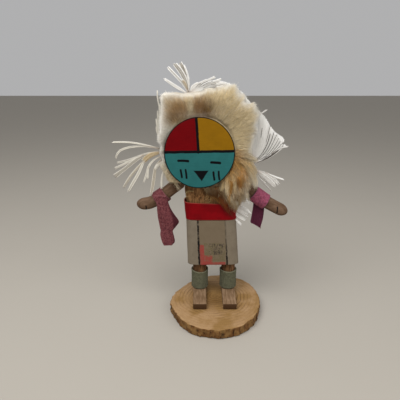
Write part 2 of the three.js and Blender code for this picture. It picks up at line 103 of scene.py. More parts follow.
class Shader:
    """A material under construction: one Principled shader and the nodes that feed it."""

    CHOICES = {
        "Math": "operation",
        "VectorMath": "operation",
        "Mix": "blend_type",
        "MapRange": "interpolation_type",
        "TexVoronoi": "feature",
    }

    def __init__(self, name: str) -> None:
        """Start an empty material whose output is one Principled shader.

        Args:
            name: The material's name.
        """
        self.material = bpy.data.materials.new(name)
        self.material.use_nodes = True
        self.tree = self.material.node_tree
        self.tree.nodes.clear()
        self.skin = self.tree.nodes.new("ShaderNodeBsdfPrincipled")
        output = self.tree.nodes.new("ShaderNodeOutputMaterial")
        self.tree.links.new(self.skin.outputs[0], output.inputs[0])

    def feed(self, socket: Socket, value: object) -> None:
        """Feed an input.

        Args:
            socket: The input.
            value: A socket, a number, a vector or a hex colour. None leaves the input alone.
        """
        if isinstance(value, Socket):
            self.tree.links.new(value, socket)
        elif value is not None:
            socket.default_value = srgb(value) if isinstance(value, str) else value

    def add(
        self, kind: str, *values: object, out: int | str | None = None,
        stops: Sequence[tuple[float, float | str]] = (), **settings: object,
    ) -> Socket:
        """Add one node with its settings and links.

        Args:
            kind: The node's type without its prefix, then a dot and its main choice where it has
                one, such as "Math.MULTIPLY".
            *values: Its inputs in order, as feed takes them. A colour mix takes its share first.
            out: The output to return; by default the first, or a colour mix's result.
            stops: Places and colours or greys of a colour ramp, in order.
            **settings: Further properties of the node.

        Returns:
            The output socket.
        """
        family, _, choice = kind.partition(".")
        node = self.tree.nodes.new("ShaderNode" + family)
        if choice:
            setattr(node, self.CHOICES[family], choice)
        for key, value in settings.items():
            setattr(node, key, value)
        inputs = range(len(values))
        if family == "Mix":
            node.data_type = "RGBA"
            inputs = (0, 6, 7)
            out = 2
        for index, value in zip(inputs, values):
            self.feed(node.inputs[index], value)
        if stops:
            band = node.color_ramp.elements
            colours = [
                srgb(tone) if isinstance(tone, str) else (tone, tone, tone, 1.0) for _, tone in stops
            ]
            band[0].position, band[0].color = stops[0][0], colours[0]
            band[1].position, band[1].color = stops[-1][0], colours[-1]
            for (place, _), colour in zip(stops[1:-1], colours[1:-1]):
                band.new(place).color = colour
        return node.outputs[out or 0]

    def here(self, scale: Spot = (1, 1, 1), origin: Spot = (0, 0, 0)) -> Socket:
        """Find a point's place.

        Args:
            scale: What each axis is scaled by.
            origin: The place in mm that counts as nought.

        Returns:
            The place in mm from the origin.
        """
        place = self.add("TexCoord", out="Object")
        place = self.add("VectorMath.SCALE", place, None, None, 1 / MM)
        place = self.add("VectorMath.SUBTRACT", place, origin)
        return self.add("VectorMath.MULTIPLY", place, scale)

    def share_of(self, *shares: object) -> Socket | float:
        """Multiply shares.

        Args:
            *shares: Sockets or numbers; the first is kept as it is when it stands alone.

        Returns:
            Their product.
        """
        total = shares[0]
        for share in shares[1:]:
            total = self.add("Math.MULTIPLY", total, share)
        return total

    def edge(self) -> Socket:
        """Return 1 along the cut edges of a sheet, fading to 0 just inside them."""
        return self.add("Attribute", out="Fac", attribute_name="cut_edge")

    def finish(self, relief: object = None, depth_mm: float = 0.2, **sockets: object) -> Material:
        """Set the shader's own sockets and its relief.

        Args:
            relief: A height from 0 to 1, or None for a smooth surface.
            depth_mm: How high 1 stands, in millimetres.
            **sockets: Socket names with underscores for spaces, each as feed takes it.

        Returns:
            The finished material.
        """
        sockets.setdefault("Specular_IOR_Level", 0.15)
        if relief is not None:
            bump = self.tree.nodes.new("ShaderNodeBump")
            self.feed(bump.inputs["Height"], relief)
            self.feed(bump.inputs["Distance"], depth_mm * MM)
            sockets["Normal"] = bump.outputs[0]
        for key, value in sockets.items():
            self.feed(self.skin.inputs[key.replace("_", " ")], value)
        return self.material


# ---- finishes


@dataclass(frozen=True)
class SawnLog:
    """A dry slice of a young pine: matt honey end grain with thin dark rings, and a bark edge."""

    heart: Spot = (0.0, 5.0, 0.0)
    ring_mm: float = 3.3
    pale: str = "#a0805b"
    amber: str = "#89693e"
    heartwood: str = "#72542d"
    ring: str = "#4a2e14"
    bark: str = "#4c2f18"
    bark_light: str = "#77522c"
    bark_dark: str = "#1d1009"

    def material(self, knots: Sequence[tuple[float, float, float, float]]) -> Material:
        """Make the material for top, bark side and underside.

        Args:
            knots: Dark splits in the bark side, each x, y, z and radius in mm.

        Returns:
            The material.
        """
        shader = Shader("sawn_log")
        add = shader.add
        here = shader.here()
        level = shader.here((1, 1, 0), self.heart)
        radius = add("VectorMath.LENGTH", level, out="Value")
        wobble = add(NOISE, level, None, 1 / 28, 2)
        fine = add(NOISE, here, None, 1 / 6, 2)
        reach = add("Math.MULTIPLY_ADD", wobble, 7, radius)
        reach = add("Math.MULTIPLY_ADD", fine, 1, reach)
        turn = add("Math.FRACT", add("Math.DIVIDE", reach, self.ring_mm))
        late = add("ValToRGB", turn, stops=[(0, 0), (0.55, 0.1), (0.84, 1), (1, 0)])
        fade = add(NOISE, level, None, 1 / 16, 2)
        strength = shader.share_of(late, add(STEP, fade, 0.34, 0.66, 0.25, 1))
        strength = shader.share_of(strength, add(STEP, radius, 26, 42, 1, 0.35))
        outward = add(STEP, radius, 6, 34)
        ground = add("Mix", outward, self.heartwood, self.pale)
        patch = add(STEP, add(NOISE, here, None, 1 / 13, 4), 0.38, 0.68)
        ground = add("Mix", patch, ground, self.amber)
        pores = add(NOISE, here, None, 1.1, 4, 0.7)
        specks = add(STEP, pores, 0.5, 0.72, 0, 0.3)
        ground = add("Mix", specks, ground, self.ring)
        face = add("Mix", shader.share_of(strength, 0.6), ground, self.ring)

        fissures = add(NOISE, shader.here((1, 1, 0.3)), None, 1 / 2.4, 5, 0.66)
        bark = add(
            "ValToRGB",
            fissures,
            stops=[(0.32, self.bark_dark), (0.42, self.bark), (0.56, self.bark_light), (0.72, self.bark)],
        )
        worn = add(NOISE, here, None, 1 / 5, 3)
        bark = add("Mix", add(STEP, worn, 0.42, 0.62, 0, 0.7), bark, self.amber)
        for *place, size in knots:
            gap = add("VectorMath.DISTANCE", here, tuple(place), out="Value")
            gap = add("Math.MULTIPLY_ADD", fine, 3, gap)
            dark = add(STEP, gap, size + 3, size + 1)
            bark = add("Mix", dark, bark, self.bark_dark)
        lift = add("SeparateXYZ", add("NewGeometry", out="Normal"), out="Z")
        upward = add(STEP, add("Math.ABSOLUTE", lift), 0.5, 0.8)
        colour = add("Mix", upward, bark, face)
        saw = add(NOISE, shader.here((0.15, 2, 1)), None, 0.8, 3)
        top = add("Math.MULTIPLY_ADD", strength, -0.3, shader.share_of(saw, 0.3))
        relief = add("Mix", upward, shader.share_of(fissures, 2.2), top)
        return shader.finish(relief, 0.6, Base_Color=colour, Roughness=0.74, IOR=1.48)


@dataclass(frozen=True)
class CarvedWood:
    """Softwood that was sawn or whittled and left bare or stained: matt, with long grain."""

    name: str
    light: str
    dark: str
    grain: Spot = (1.0, 1.0, 0.1)  # the grain runs along the small one
    streak_mm: float = 1.2
    blotch: float = 0.35
    end_grain: str | None = None  # colour of the ends that face front and back
    pen: tuple[Spot, ...] = ()  # x, z and half length of drawn lines
    ink: str = "#0d0908"

    def material(self) -> Material:
        """Make the material.

        Returns:
            The material.
        """
        shader = Shader(self.name)
        add = shader.add
        here = shader.here()
        along = shader.here(self.grain)
        fibre = add(NOISE, along, None, 1 / self.streak_mm, 5, 0.62)
        hair = add(NOISE, along, None, 3 / self.streak_mm, 4, 0.7)
        patches = add(NOISE, here, None, 1 / 8, 3)
        colour = add("Mix", add(STEP, fibre, 0.34, 0.66), self.dark, self.light)
        worn = add(STEP, patches, 0.42, 0.7, 0, self.blotch)
        colour = add("Mix", worn, colour, self.dark)
        if self.end_grain:
            facing = add("SeparateXYZ", add("NewGeometry", out="Normal"), out="Y")
            front = add(STEP, add("Math.ABSOLUTE", facing), 0.5, 0.8)
            speckled = add("Mix", shader.share_of(hair, 0.5), self.end_grain, self.dark)
            colour = add("Mix", front, colour, speckled)
        for x, z, half_length in self.pen:
            shake = add(NOISE, here, None, 0.5, 2)
            across = add("SeparateXYZ", here, out="X")
            across = add("Math.SUBTRACT", add("Math.ADD", across, shake), x + 0.5)
            across = add("Math.ABSOLUTE", across)
            height = add("SeparateXYZ", here, out="Z")
            height = add("Math.ABSOLUTE", add("Math.SUBTRACT", height, z))
            depth = add("SeparateXYZ", here, out="Y")
            ink = shader.share_of(
                add(STEP, across, 0.75, 0.4),
                add(STEP, height, half_length + 0.3, half_length - 0.3),
                add(STEP, depth, FIGURE_Y - 1.5, FIGURE_Y - 3),
            )
            colour = add("Mix", ink, colour, self.ink)
        relief = add("Math.MULTIPLY_ADD", hair, 0.5, fibre)
        return shader.finish(relief, 0.22, Base_Color=colour, Roughness=0.7, IOR=1.47)


@dataclass(frozen=True)
class Suede:
    """Split leather with a short nap: quite matt, mottled where the nap lies different ways."""

    name: str
    base: str
    shade: str
    light: str
    mottle: float = 0.5
    blotch_mm: float = 3.5
    nap_mm: float = 0.8  # real nap is finer; drawn as coarse as it needs to be to show
    edge_light: float = 0.6

    def ground(self, shader: Shader) -> tuple[Socket, Socket]:
        """Return the nap before any paint.

        Args:
            shader: The material that is being made.

        Returns:
            Its colour, and its height from 0 to about 1.5.
        """
        add = shader.add
        here = shader.here()
        blotch = add(NOISE, here, None, 1 / self.blotch_mm, 4, 0.6)
        nap = add(NOISE, here, None, 1 / self.nap_mm, 3, 0.75)
        low = add(STEP, blotch, 0.42, 0.66, 0, self.mottle)
        high = add(STEP, nap, 0.5, 0.7, 0, self.mottle)
        # painted shade: the nap is darkened where its relief is lowest
        pit_shade = add(STEP, nap, 0.45, 0.3, 0, self.mottle)
        colour = add("Mix", low, self.base, self.shade)
        colour = add("Mix", high, colour, self.light)
        colour = add("Mix", pit_shade, colour, self.shade)
        # a turned-back part or a shown underside is darkened: partly its own colour, partly painted shade
        turned = add("Attribute", out="Fac", attribute_name="turned_back")
        colour = add("Mix", shader.share_of(turned, 0.85), colour, self.shade)
        colour = add("Mix", shader.share_of(shader.edge(), self.edge_light), colour, self.light)
        return colour, add("Math.MULTIPLY_ADD", blotch, 0.5, nap)

    def finish(self, shader: Shader, colour: Socket, relief: Socket) -> Material:
        """Give the nap its relief and its soft sheen at a low angle.

        Args:
            shader: The material that is being made.
            colour: Its colour.
            relief: Its height.

        Returns:
            The finished material.
        """
        return shader.finish(
            relief, 0.25, Base_Color=colour, Roughness=0.95,
            Sheen_Weight=0.03, Sheen_Roughness=0.6, Specular_IOR_Level=0.1,
        )

    def material(self) -> Material:
        """Make the material for an unpainted piece."""
        shader = Shader(self.name)
        return self.finish(shader, *self.ground(shader))


@dataclass(frozen=True)
class PaintedSuede(Suede):
    """Grey-beige suede with a hand-drawn panel on the front: two black lines, a faded red corner,
    khaki blocks and grey scribble."""

    left_line: Pair = (-15.1, -16.7)  # x at the hem and at the top
    right_line: Pair = (11.2, 8.3)
    hem: float = 43.0
    top: float = 88.0
    black: str = "#14100d"
    red: str = "#903d37"
    khaki: str = "#5e5638"
    grey: str = "#3a322f"
    panel: str = "#6c5c46"

    def material(self) -> Material:
        """Make the suede and draw the panel on its front.

        Returns:
            The material.
        """
        shader = Shader(self.name)
        add = shader.add
        colour, relief = self.ground(shader)
        here = shader.here()
        shake = add(NOISE, here, None, 1 / 5, 3)
        shake = add("Math.MULTIPLY_ADD", shake, 1.5, -0.75)
        x = add("Math.ADD", add("SeparateXYZ", here, out="X"), shake)
        height = add("SeparateXYZ", here, out="Z")
        z = add("Math.ADD", height, shake)
        rise = add("MapRange.LINEAR", height, self.hem, self.top)
        front = add("SeparateXYZ", here, out="Y")
        front = add(STEP, front, FIGURE_Y - 4, FIGURE_Y - 6)
        worn = add(STEP, add(NOISE, here, None, 1 / 1.2, 3, 0.7), 0.2, 0.6, 0.5, 1)
        patchy = add(STEP, add(NOISE, here, None, 1 / 3, 4, 0.65), 0.36, 0.56)
        written = shader.here((1, 1, 0.6))
        written = add(NOISE, written, None, 1 / 2.1, 5, 0.7, None, None, None, 1)
        written = add(STEP, written, 0.48, 0.56)
        broken = add(NOISE, shader.here((0.2, 0.2, 1)), None, 1 / 4.5, 3, 0.7)
        broken = add(STEP, broken, 0.3, 0.52, 0.3, 1)

        def beside(line: Pair) -> Socket:
            """Return how far a point is to the right of a leaning line."""
            middle = add("MapRange.LINEAR", rise, 0, 1, *line)
            return add("Math.SUBTRACT", x, middle)

        def within(value: Socket, low: float, high: float, soft: float = 0.45) -> Socket:
            """Return 1 between two values, with soft ends."""
            after = add(STEP, value, low - soft, low + soft)
            return shader.share_of(after, add(STEP, value, high + soft, high - soft))

        from_left, from_right = beside(self.left_line), beside(self.right_line)
        faint = add(STEP, rise, 0.8, 0.1, 0.35, 1)
        layers = (
            (self.panel, 0.6, within(from_left, 0.3, 26), add(STEP, from_right, 0.5, -0.5)),
            (self.khaki, 0.5, within(from_left, 5.0, 24.5), within(z, 47.2, 65.5), patchy),
            (self.grey, 0.8, within(from_left, 9.5, 23.5), within(z, 53.6, 64.8), written),
            (self.red, 1.0, within(from_left, 0.9, 4.9), within(z, 41.0, 63.6), worn),
            (self.red, 1.0, within(from_left, 3.8, 12.4), within(z, 41.0, 53.0), worn, patchy),
            (self.red, 0.9, within(from_left, 3.8, 24.6), within(z, 41.0, 46.2), worn),
            (self.black, 1.0, within(from_left, -0.9, 0.9, 0.3), broken),
            (self.black, 1.0, within(from_right, -0.75, 0.75, 0.3), broken, faint),
        )
        for paint, *shares in layers:
            colour = add("Mix", shader.share_of(front, *shares), colour, paint)
        return self.finish(shader, colour, relief)


@dataclass(frozen=True)
class DyedLeather:
    """Thin red garment leather: a soft satin shine, a fine pebbled grain, painted crease shade."""

    base: str = "#7e020c"
    deep: str = "#500106"
    edge: str = "#b8604f"

    def material(self) -> Material:
        """Make the material.

        Returns:
            The material.
        """
        shader = Shader("red_leather")
        add = shader.add
        here = shader.here()
        pebble = add("TexVoronoi.SMOOTH_F1", here, None, 1 / 0.6)
        crease = add(NOISE, shader.here((0.2, 0.2, 1)), None, 1 / 2.4, 3, 0.6)
        tone = add(NOISE, here, None, 1 / 9, 3)
        colour = add("Mix", add(STEP, tone, 0.35, 0.75, 0, 0.45), self.base, self.deep)
        # painted shade: the leather is darkened in its creases
        crease_shade = add(STEP, crease, 0.42, 0.3, 0, 0.2)
        colour = add("Mix", crease_shade, colour, self.deep)
        colour = add("Mix", shader.share_of(shader.edge(), 0.5), colour, self.edge)
        relief = add("Math.MULTIPLY_ADD", pebble, 0.35, crease)
        return shader.finish(
            relief, 0.08, Base_Color=colour, Roughness=0.5, IOR=1.5, Specular_IOR_Level=0.08
        )


@dataclass(frozen=True)
class Stroke:
    """A painted stroke on the mask with round ends, in shares of the mask's radius."""

    start: Pair
    end: Pair
    half_width: float


@dataclass(frozen=True)
class MaskPaint:
    """Brushed poster paint on a sanded board: flat colours, faint brush marks, black outlines."""

    red: str = "#650106"
    yellow: str = "#835c08"
    turquoise: str = "#27605f"
    black: str = "#0b0a0d"
    bare: str = "#8a6b47"
    rim: float = 0.972  # where the black outline starts, in shares of the radius
    blur: float = 0.004  # half the width of the step between two colours
    strokes: tuple[Stroke, ...] = (
        Stroke((-1.1, 0.024), (1.1, 0.062), 0.038),
        Stroke((-0.098, 1.1), (-0.031, 0.03), 0.038),
        Stroke((-0.595, -0.207), (-0.325, -0.22), 0.035),
        Stroke((0.335, -0.255), (0.58, -0.278), 0.035),
        Stroke((-0.534, -0.475), (-0.503, -0.685), 0.027),
        Stroke((-0.396, -0.475), (-0.365, -0.705), 0.028),
        Stroke((0.393, -0.535), (0.424, -0.755), 0.028),
        Stroke((0.542, -0.515), (0.565, -0.745), 0.027),
    )
    mouth: tuple[Pair, ...] = ((-0.175, -0.492), (0.256, -0.492), (0.062, -0.79))

    def material(self) -> Material:
        """Make the material. It reads the mask's own map, whose unit is the mask's radius.

        Returns:
            The material.
        """
        shader = Shader("painted_mask")
        add = shader.add
        place = add("UVMap", uv_map="face")
        sway = add(NOISE, place, None, 4, 2, out=1)
        sway = add("VectorMath.SUBTRACT", sway, (0.5, 0.5, 0.5))
        sway = add("VectorMath.MULTIPLY", sway, (0.03, 0.03, 0))
        hand = add("VectorMath.ADD", place, sway)
        above = self._left_of(shader, hand, self.strokes[0].start, self.strokes[0].end)
        left = self._left_of(shader, hand, self.strokes[1].end, self.strokes[1].start)
        crown = add("Mix", add(STEP, left, -self.blur, self.blur), self.yellow, self.red)
        colour = add("Mix", add(STEP, above, -self.blur, self.blur), self.turquoise, crown)
        brush = add("VectorMath.MULTIPLY", place, (3, 26, 1))
        brush = add(NOISE, brush, None, 1, 4)
        tone = add(NOISE, place, None, 3.2, 3)
        shade = add("Math.MULTIPLY_ADD", brush, 0.4, shader.share_of(tone, 0.6))
        shade = add("ValToRGB", shade, stops=[(0.3, 0.8), (0.7, 1)])
        colour = add("Mix.MULTIPLY", 1, colour, shade)
        uneven = add(NOISE, place, None, 2.2, 2)
        reach = add("VectorMath.LENGTH", place, out="Value")
        reach = add("Math.MULTIPLY_ADD", uneven, 0.02, reach)
        ink = add(STEP, reach, self.rim + 0.004, self.rim + 0.018)
        for stroke in self.strokes:
            ink = add("Math.MAXIMUM", ink, self._stroke(shader, hand, stroke))
        ink = add("Math.MAXIMUM", ink, self._mouth(shader, hand))
        colour = add("Mix", ink, colour, self.black)
        painted = add("Attribute", out="Fac", attribute_name="painted")
        grain = add(NOISE, shader.here((1, 1, 0.1)), None, 0.8, 4)
        bare = add("Mix", grain, self.bare, self.black)
        colour = add("Mix", painted, bare, colour)
        relief = add("Math.MULTIPLY_ADD", ink, 0.8, brush)
        rough = add("MapRange.LINEAR", ink, 0, 1, 0.62, 0.5)
        return shader.finish(
            relief, 0.08, Base_Color=colour, Roughness=rough, IOR=1.48, Specular_IOR_Level=0.06
        )

    def _left_of(
        self, shader: Shader, hand: Socket, start: Sequence[float], end: Sequence[float]
    ) -> Socket:
        """Measure how far a point is to the left of a line.

        Args:
            shader: The material that is being made.
            hand: Places in radii, moved as by hand.
            start: Where the line starts.
            end: Where it ends.

        Returns:
            The distance in radii, below nought to the right.
        """
        run = Vector(end) - Vector(start)
        normal = Vector((-run.y, run.x)).normalized()
        reach = shader.add("VectorMath.DOT_PRODUCT", hand, (normal.x, normal.y, 0), out="Value")
        return shader.add("Math.SUBTRACT", reach, normal.dot(Vector(start)))

    def _stroke(self, shader: Shader, hand: Socket, stroke: Stroke) -> Socket:
        """Draw a stroke.

        Args:
            shader: The material that is being made.
            hand: Places in radii, moved as by hand.
            stroke: The stroke.

        Returns:
            1 on the stroke and 0 off it.
        """
        start = Vector((*stroke.start, 0.0))
        run = Vector((*stroke.end, 0.0)) - start
        from_start = shader.add("VectorMath.SUBTRACT", hand, tuple(start))
        per_run = tuple(run / run.length_squared)
        share = shader.add("VectorMath.DOT_PRODUCT", from_start, per_run, out="Value")
        share = shader.add("Math.ADD", share, 0, use_clamp=True)
        nearest = shader.add("VectorMath.SCALE", tuple(run), None, None, share)
        reach = shader.add("VectorMath.DISTANCE", from_start, nearest, out="Value")
        return shader.add(STEP, reach, stroke.half_width + 0.006, stroke.half_width - 0.006)

    def _mouth(self, shader: Shader, hand: Socket) -> Socket:
        """Draw the triangle of the mouth.

        Args:
            shader: The material that is being made.
            hand: Places in radii, moved as by hand.

        Returns:
            1 inside the triangle and 0 outside it.
        """
        corners = self.mouth
        sides = [self._left_of(shader, hand, corners[i], corners[(i + 1) % 3]) for i in range(3)]
        outside = shader.add("Math.MAXIMUM", shader.add("Math.MAXIMUM", *sides[:2]), sides[2])
        return shader.add(STEP, outside, 0.008, -0.008)


@dataclass(frozen=True)
class Coat:
    """Hair or feather barbs: each strand carries its own colour, with a soft shine along it."""

    name: str
    roughness: float = 0.7
    sheen: float = 0.04
    fleck: float = 0.15

    def material(self) -> Material:
        """Make the material. It reads the colour that each strand carries from root to tip.

        Returns:
            The material.
        """
        shader = Shader(self.name)
        add = shader.add
        coat = add("Attribute", out="Color", attribute_name="coat")
        fleck = add(NOISE, shader.here(), None, 1 / 1.3, 3, 0.7)
        shade = add("ValToRGB", fleck, stops=[(0.3, 1 - self.fleck), (0.7, 1)])
        return shader.finish(
            Base_Color=add("Mix.MULTIPLY", 1.0, coat, shade), Roughness=self.roughness,
            Sheen_Weight=self.sheen, Sheen_Roughness=0.5, Specular_IOR_Level=0.1,
        )


# ---- shared making


def body_x(z: float) -> float:
    """Return the middle of the body across, at a height: it leans to the left as it rises."""
    return -1 - BODY_LEAN * (z - 24)


def smooth(value: float) -> float:
    """Return a smooth 0 to 1 step of a value between 0 and 1."""
    value = min(1.0, max(0.0, value))
    return value * value * (3 - 2 * value)


def unit(vectors: np.ndarray) -> np.ndarray:
    """Return vectors, along the last axis, with a length of 1."""
    return vectors / (np.linalg.norm(vectors, axis=-1, keepdims=True) + TINY)


def walked(points: np.ndarray) -> np.ndarray:
    """Return how far each point lies along the line through them all, in mm."""
    return np.concatenate([[0], np.cumsum(np.linalg.norm(np.diff(points, axis=0), axis=1))])


def places_of(mesh: Mesh) -> np.ndarray:
    """Return a mesh's vertices in mm, one row each."""
    return np.array([vertex.co for vertex in mesh.vertices]) / MM


def smooth_line(
    points: Sequence[Sequence[float]], shares: np.ndarray | float, closed: bool = False
) -> np.ndarray:
    """Find places on a smooth line through points.

    Args:
        points: The points, each of any number of coordinates.
        shares: Places along the line, from 0 to 1.
        closed: Whether the line returns to its first point.

    Returns:
        One row of coordinates for each share.
    """
    known = np.asarray(points, float)
    if closed:
        padded = np.vstack([known[-1:], known, known[:2]])
    else:
        padded = np.vstack([2 * known[0] - known[1], known, 2 * known[-1] - known[-2]])
    count = len(known) - (0 if closed else 1)
    shares = np.atleast_1d(shares)
    place = (shares % 1.0 if closed else np.clip(shares, 0, 1)) * count
    index = np.minimum(place.astype(int), count - 1)
    t = (place - index)[:, None]
    a, b, c, d = (padded[index + k] for k in range(4))
    bend, twist = 2 * a - 5 * b + 4 * c - d, 3 * b - a - 3 * c + d
    return 0.5 * (2 * b + (c - a) * t + bend * t**2 + twist * t**3)


def put(name: str, data: bpy.types.ID) -> bpy.types.Object:
    """Put an object in the scene.

    Args:
        name: Its name.
        data: The mesh, light or camera that it holds.

    Returns:
        The object.
    """
    made = bpy.data.objects.new(name, data)
    bpy.context.scene.collection.objects.link(made)
    return made


def add_piece(name: str, mesh: Mesh, finish: Material, slot: str, *nodes: str) -> bpy.types.Object:
    """Put a finished mesh on the doll in place of the construction's nodes.

    Args:
        name: The piece's name.
        mesh: Its mesh, in metres and in place.
        finish: Its material.
        slot: The record's material slot; not used.
        *nodes: The nodes that it stands for.

    Returns:
        The piece.
    """
    made = put(name, mesh)
    mesh.materials.clear()
    mesh.materials.append(finish)
    mesh.shade_smooth()
    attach(made, BODY)
    if nodes:
        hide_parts(*nodes)
    log.info("%s: %d faces", name, len(mesh.polygons))
    return made


def to_mesh(bm: bmesh.types.BMesh, name: str, outward: bool = True) -> Mesh:
    """Turn a bmesh in millimetres into a mesh in metres.

    Args:
        bm: The bmesh, which is freed.
        name: The mesh's name.
        outward: Whether its faces are turned outwards first.

    Returns:
        The mesh.
    """
    if outward:
        bmesh.ops.recalc_face_normals(bm, faces=bm.faces)
    bmesh.ops.scale(bm, vec=(MM, MM, MM), verts=bm.verts)
    mesh = bpy.data.meshes.new(name)
    bm.to_mesh(mesh)
    bm.free()
    return mesh


def turned(profile: Sequence[Pair], steps: int) -> bmesh.types.BMesh:
    """Spin a profile round the Z axis.

    Args:
        profile: Radius and height of each point, starting and ending on the axis.
        steps: Steps of the full turn.

    Returns:
        The closed skin.
    """
    bm = bmesh.new()
    points = [bm.verts.new((radius, 0.0, height)) for radius, height in profile]
    line = [bm.edges.new(pair) for pair in zip(points, points[1:])]
    bmesh.ops.spin(
        bm, geom=points + line, cent=(0, 0, 0), axis=(0, 0, 1), dvec=(0, 0, 0), angle=tau,
        steps=steps, use_merge=True, use_duplicate=False,
    )
    bmesh.ops.remove_doubles(bm, verts=bm.verts, dist=1e-4)
    return bm


def bent_sheet(name: str, columns: int, rows: int, size: Pair, place: Place) -> Mesh:
    """Bend a flat cut sheet into its place.

    Args:
        name: The mesh's name.
        columns: Faces across.
        rows: Faces along.
        size: Its flat width and length in mm, for the narrow band along its cut edges.
        place: Gives a point in mm for shares across and along, 0 to 1.

    Returns:
        The sheet, one face thick, with its cut edges marked.
    """
    bm = bmesh.new()
    bmesh.ops.create_grid(bm, x_segments=columns, y_segments=rows, size=0.5)
    edge = bm.verts.layers.float.new("cut_edge")
    for vert in bm.verts:
        steps = [round((vert.co[axis] + 0.5) * count) for axis, count in enumerate((columns, rows))]
        shares = []
        for step, count, length in zip(steps, (columns, rows), size):
            share = step / count
            if step in (1, count - 1):
                share = EDGE_BAND / length if step == 1 else 1 - EDGE_BAND / length
            if step in (0, count):
                vert[edge] = 1.0
            shares.append(share)
        vert.co = Vector(place(*shares))
    return to_mesh(bm, name, outward=False)


def give_wall(sheet: bpy.types.Object, wall: float) -> None:
    """Give a sheet its thickness.

    Args:
        sheet: The sheet.
        wall: Its thickness in mm, half to each side.
    """
    solidify = sheet.modifiers.new("wall", "SOLIDIFY")
    solidify.thickness = wall * MM
    solidify.offset = 0.0
    solidify.use_even_offset = True


def softened(node: bpy.types.Object, voxel: float, rounds: int, inset: float = 0.0) -> Mesh:
    """Copy a node's solid and smooth its facets away.

    Args:
        node: The construction node.
        voxel: The remeshing size in mm.
        rounds: Rounds of smoothing.
        inset: How far its surface is drawn in, in mm.

    Returns:
        The smooth mesh.
    """
    bm = bmesh.new()
    bm.from_mesh(node.data)
    bmesh.ops.remove_doubles(bm, verts=bm.verts, dist=0.001 * MM)
    mesh = bpy.data.meshes.new(node.name + "_soft")
    bm.to_mesh(mesh)
    bm.free()
    helper = put(node.name + "_soft", mesh)
    remesh = helper.modifiers.new("remesh", "REMESH")
    remesh.mode = "VOXEL"
    remesh.voxel_size = voxel * MM
    relax = helper.modifiers.new("relax", "SMOOTH")
    relax.factor = 0.5
    relax.iterations = rounds
    if inset:
        draw_in = helper.modifiers.new("inset", "DISPLACE")
        draw_in.strength = -inset * MM
        draw_in.mid_level = 0.0
        again = helper.modifiers.new("again", "SMOOTH")
        again.factor = 0.5
        again.iterations = rounds
    bpy.context.view_layer.update()
    graph = bpy.context.evaluated_depsgraph_get()
    result = bpy.data.meshes.new_from_object(helper.evaluated_get(graph))
    bpy.data.objects.remove(helper)
    bpy.data.meshes.remove(mesh)
    return result


@dataclass
class Strands:
    """Tapered hairs or barbs of one piece: N strands of P points each, in mm."""

    paths: np.ndarray  # N, P, 3
    widths: np.ndarray  # N, P half widths
    depths: np.ndarray  # N, P half depths
    facing: np.ndarray  # N, 3 the way that the flat side looks
    colours: np.ndarray  # N, P, 3 linear

    @staticmethod
    def together(sets: Sequence[Strands]) -> Strands:
        """Return several sets of strands as one, in the same order."""
        return Strands(*(np.concatenate(part) for part in zip(*(vars(one).values() for one in sets))))

    def mesh(self, name: str, sides: int = 3) -> Mesh:
        """Skin every strand. No operator lays thousands of tapered hairs, so this works out the skin.

        Args:
            name: The mesh's name.
            sides: Corners of a strand's cross-section.

        Returns:
            The mesh, with the strands' colours in its attribute "coat".
        """
        count, points, _ = self.paths.shape
        along = unit(np.gradient(self.paths, axis=1))
        across = unit(np.cross(along, self.facing[:, None, :]))
        up = np.cross(across, along)
        turn = tau * np.arange(sides) / sides
        across = across[:, :, None] * (np.cos(turn) * self.widths[:, :, None])[..., None]
        up = up[:, :, None] * (np.sin(turn) * self.depths[:, :, None])[..., None]
        rings = (self.paths[:, :, None] + across + up)[:, :-1].reshape(count, -1, 3)
        places = np.concatenate([rings, self.paths[:, -1:]], axis=1)
        along_sides = np.repeat(self.colours[:, :-1], sides, axis=1)
        colours = np.concatenate([along_sides, self.colours[:, -1:]], axis=1)
        per_strand = places.shape[1]
        corner = np.arange(sides)
        after = (corner + 1) % sides
        faces = [np.flip(corner)]
        for row in range(points - 2):
            low = row * sides
            high = low + sides
            faces += list(np.stack([low + corner, low + after, high + after, high + corner], axis=1))
        low = (points - 2) * sides
        faces += list(np.stack([low + corner, low + after, np.full(sides, per_strand - 1)], axis=1))
        loops = np.concatenate(faces)
        starts = np.cumsum([0] + [len(face) for face in faces])[:-1]
        shift = np.arange(count)[:, None]
        mesh = bpy.data.meshes.new(name)
        mesh.vertices.add(count * per_strand)
        mesh.vertices.foreach_set("co", (places * MM).astype(np.float32).ravel())
        mesh.loops.add(count * len(loops))
        indices = (loops[None] + shift * per_strand).astype(np.int32)
        mesh.loops.foreach_set("vertex_index", indices.ravel())
        mesh.polygons.add(count * len(faces))
        first = (starts[None] + shift * len(loops)).astype(np.int32)
        mesh.polygons.foreach_set("loop_start", first.ravel())
        mesh.update(calc_edges=True)
        paint(mesh, colours.reshape(-1, 3))
        return mesh


def paint(mesh: Mesh, colours: np.ndarray) -> None:
    """Write one linear colour for each vertex into the attribute "coat"."""
    coat = mesh.color_attributes.new(name="coat", type="FLOAT_COLOR", domain="POINT")
    coat.data.foreach_set("color", np.insert(colours, 3, 1.0, axis=1).astype(np.float32).ravel())


# ---- log slice, feet and legs


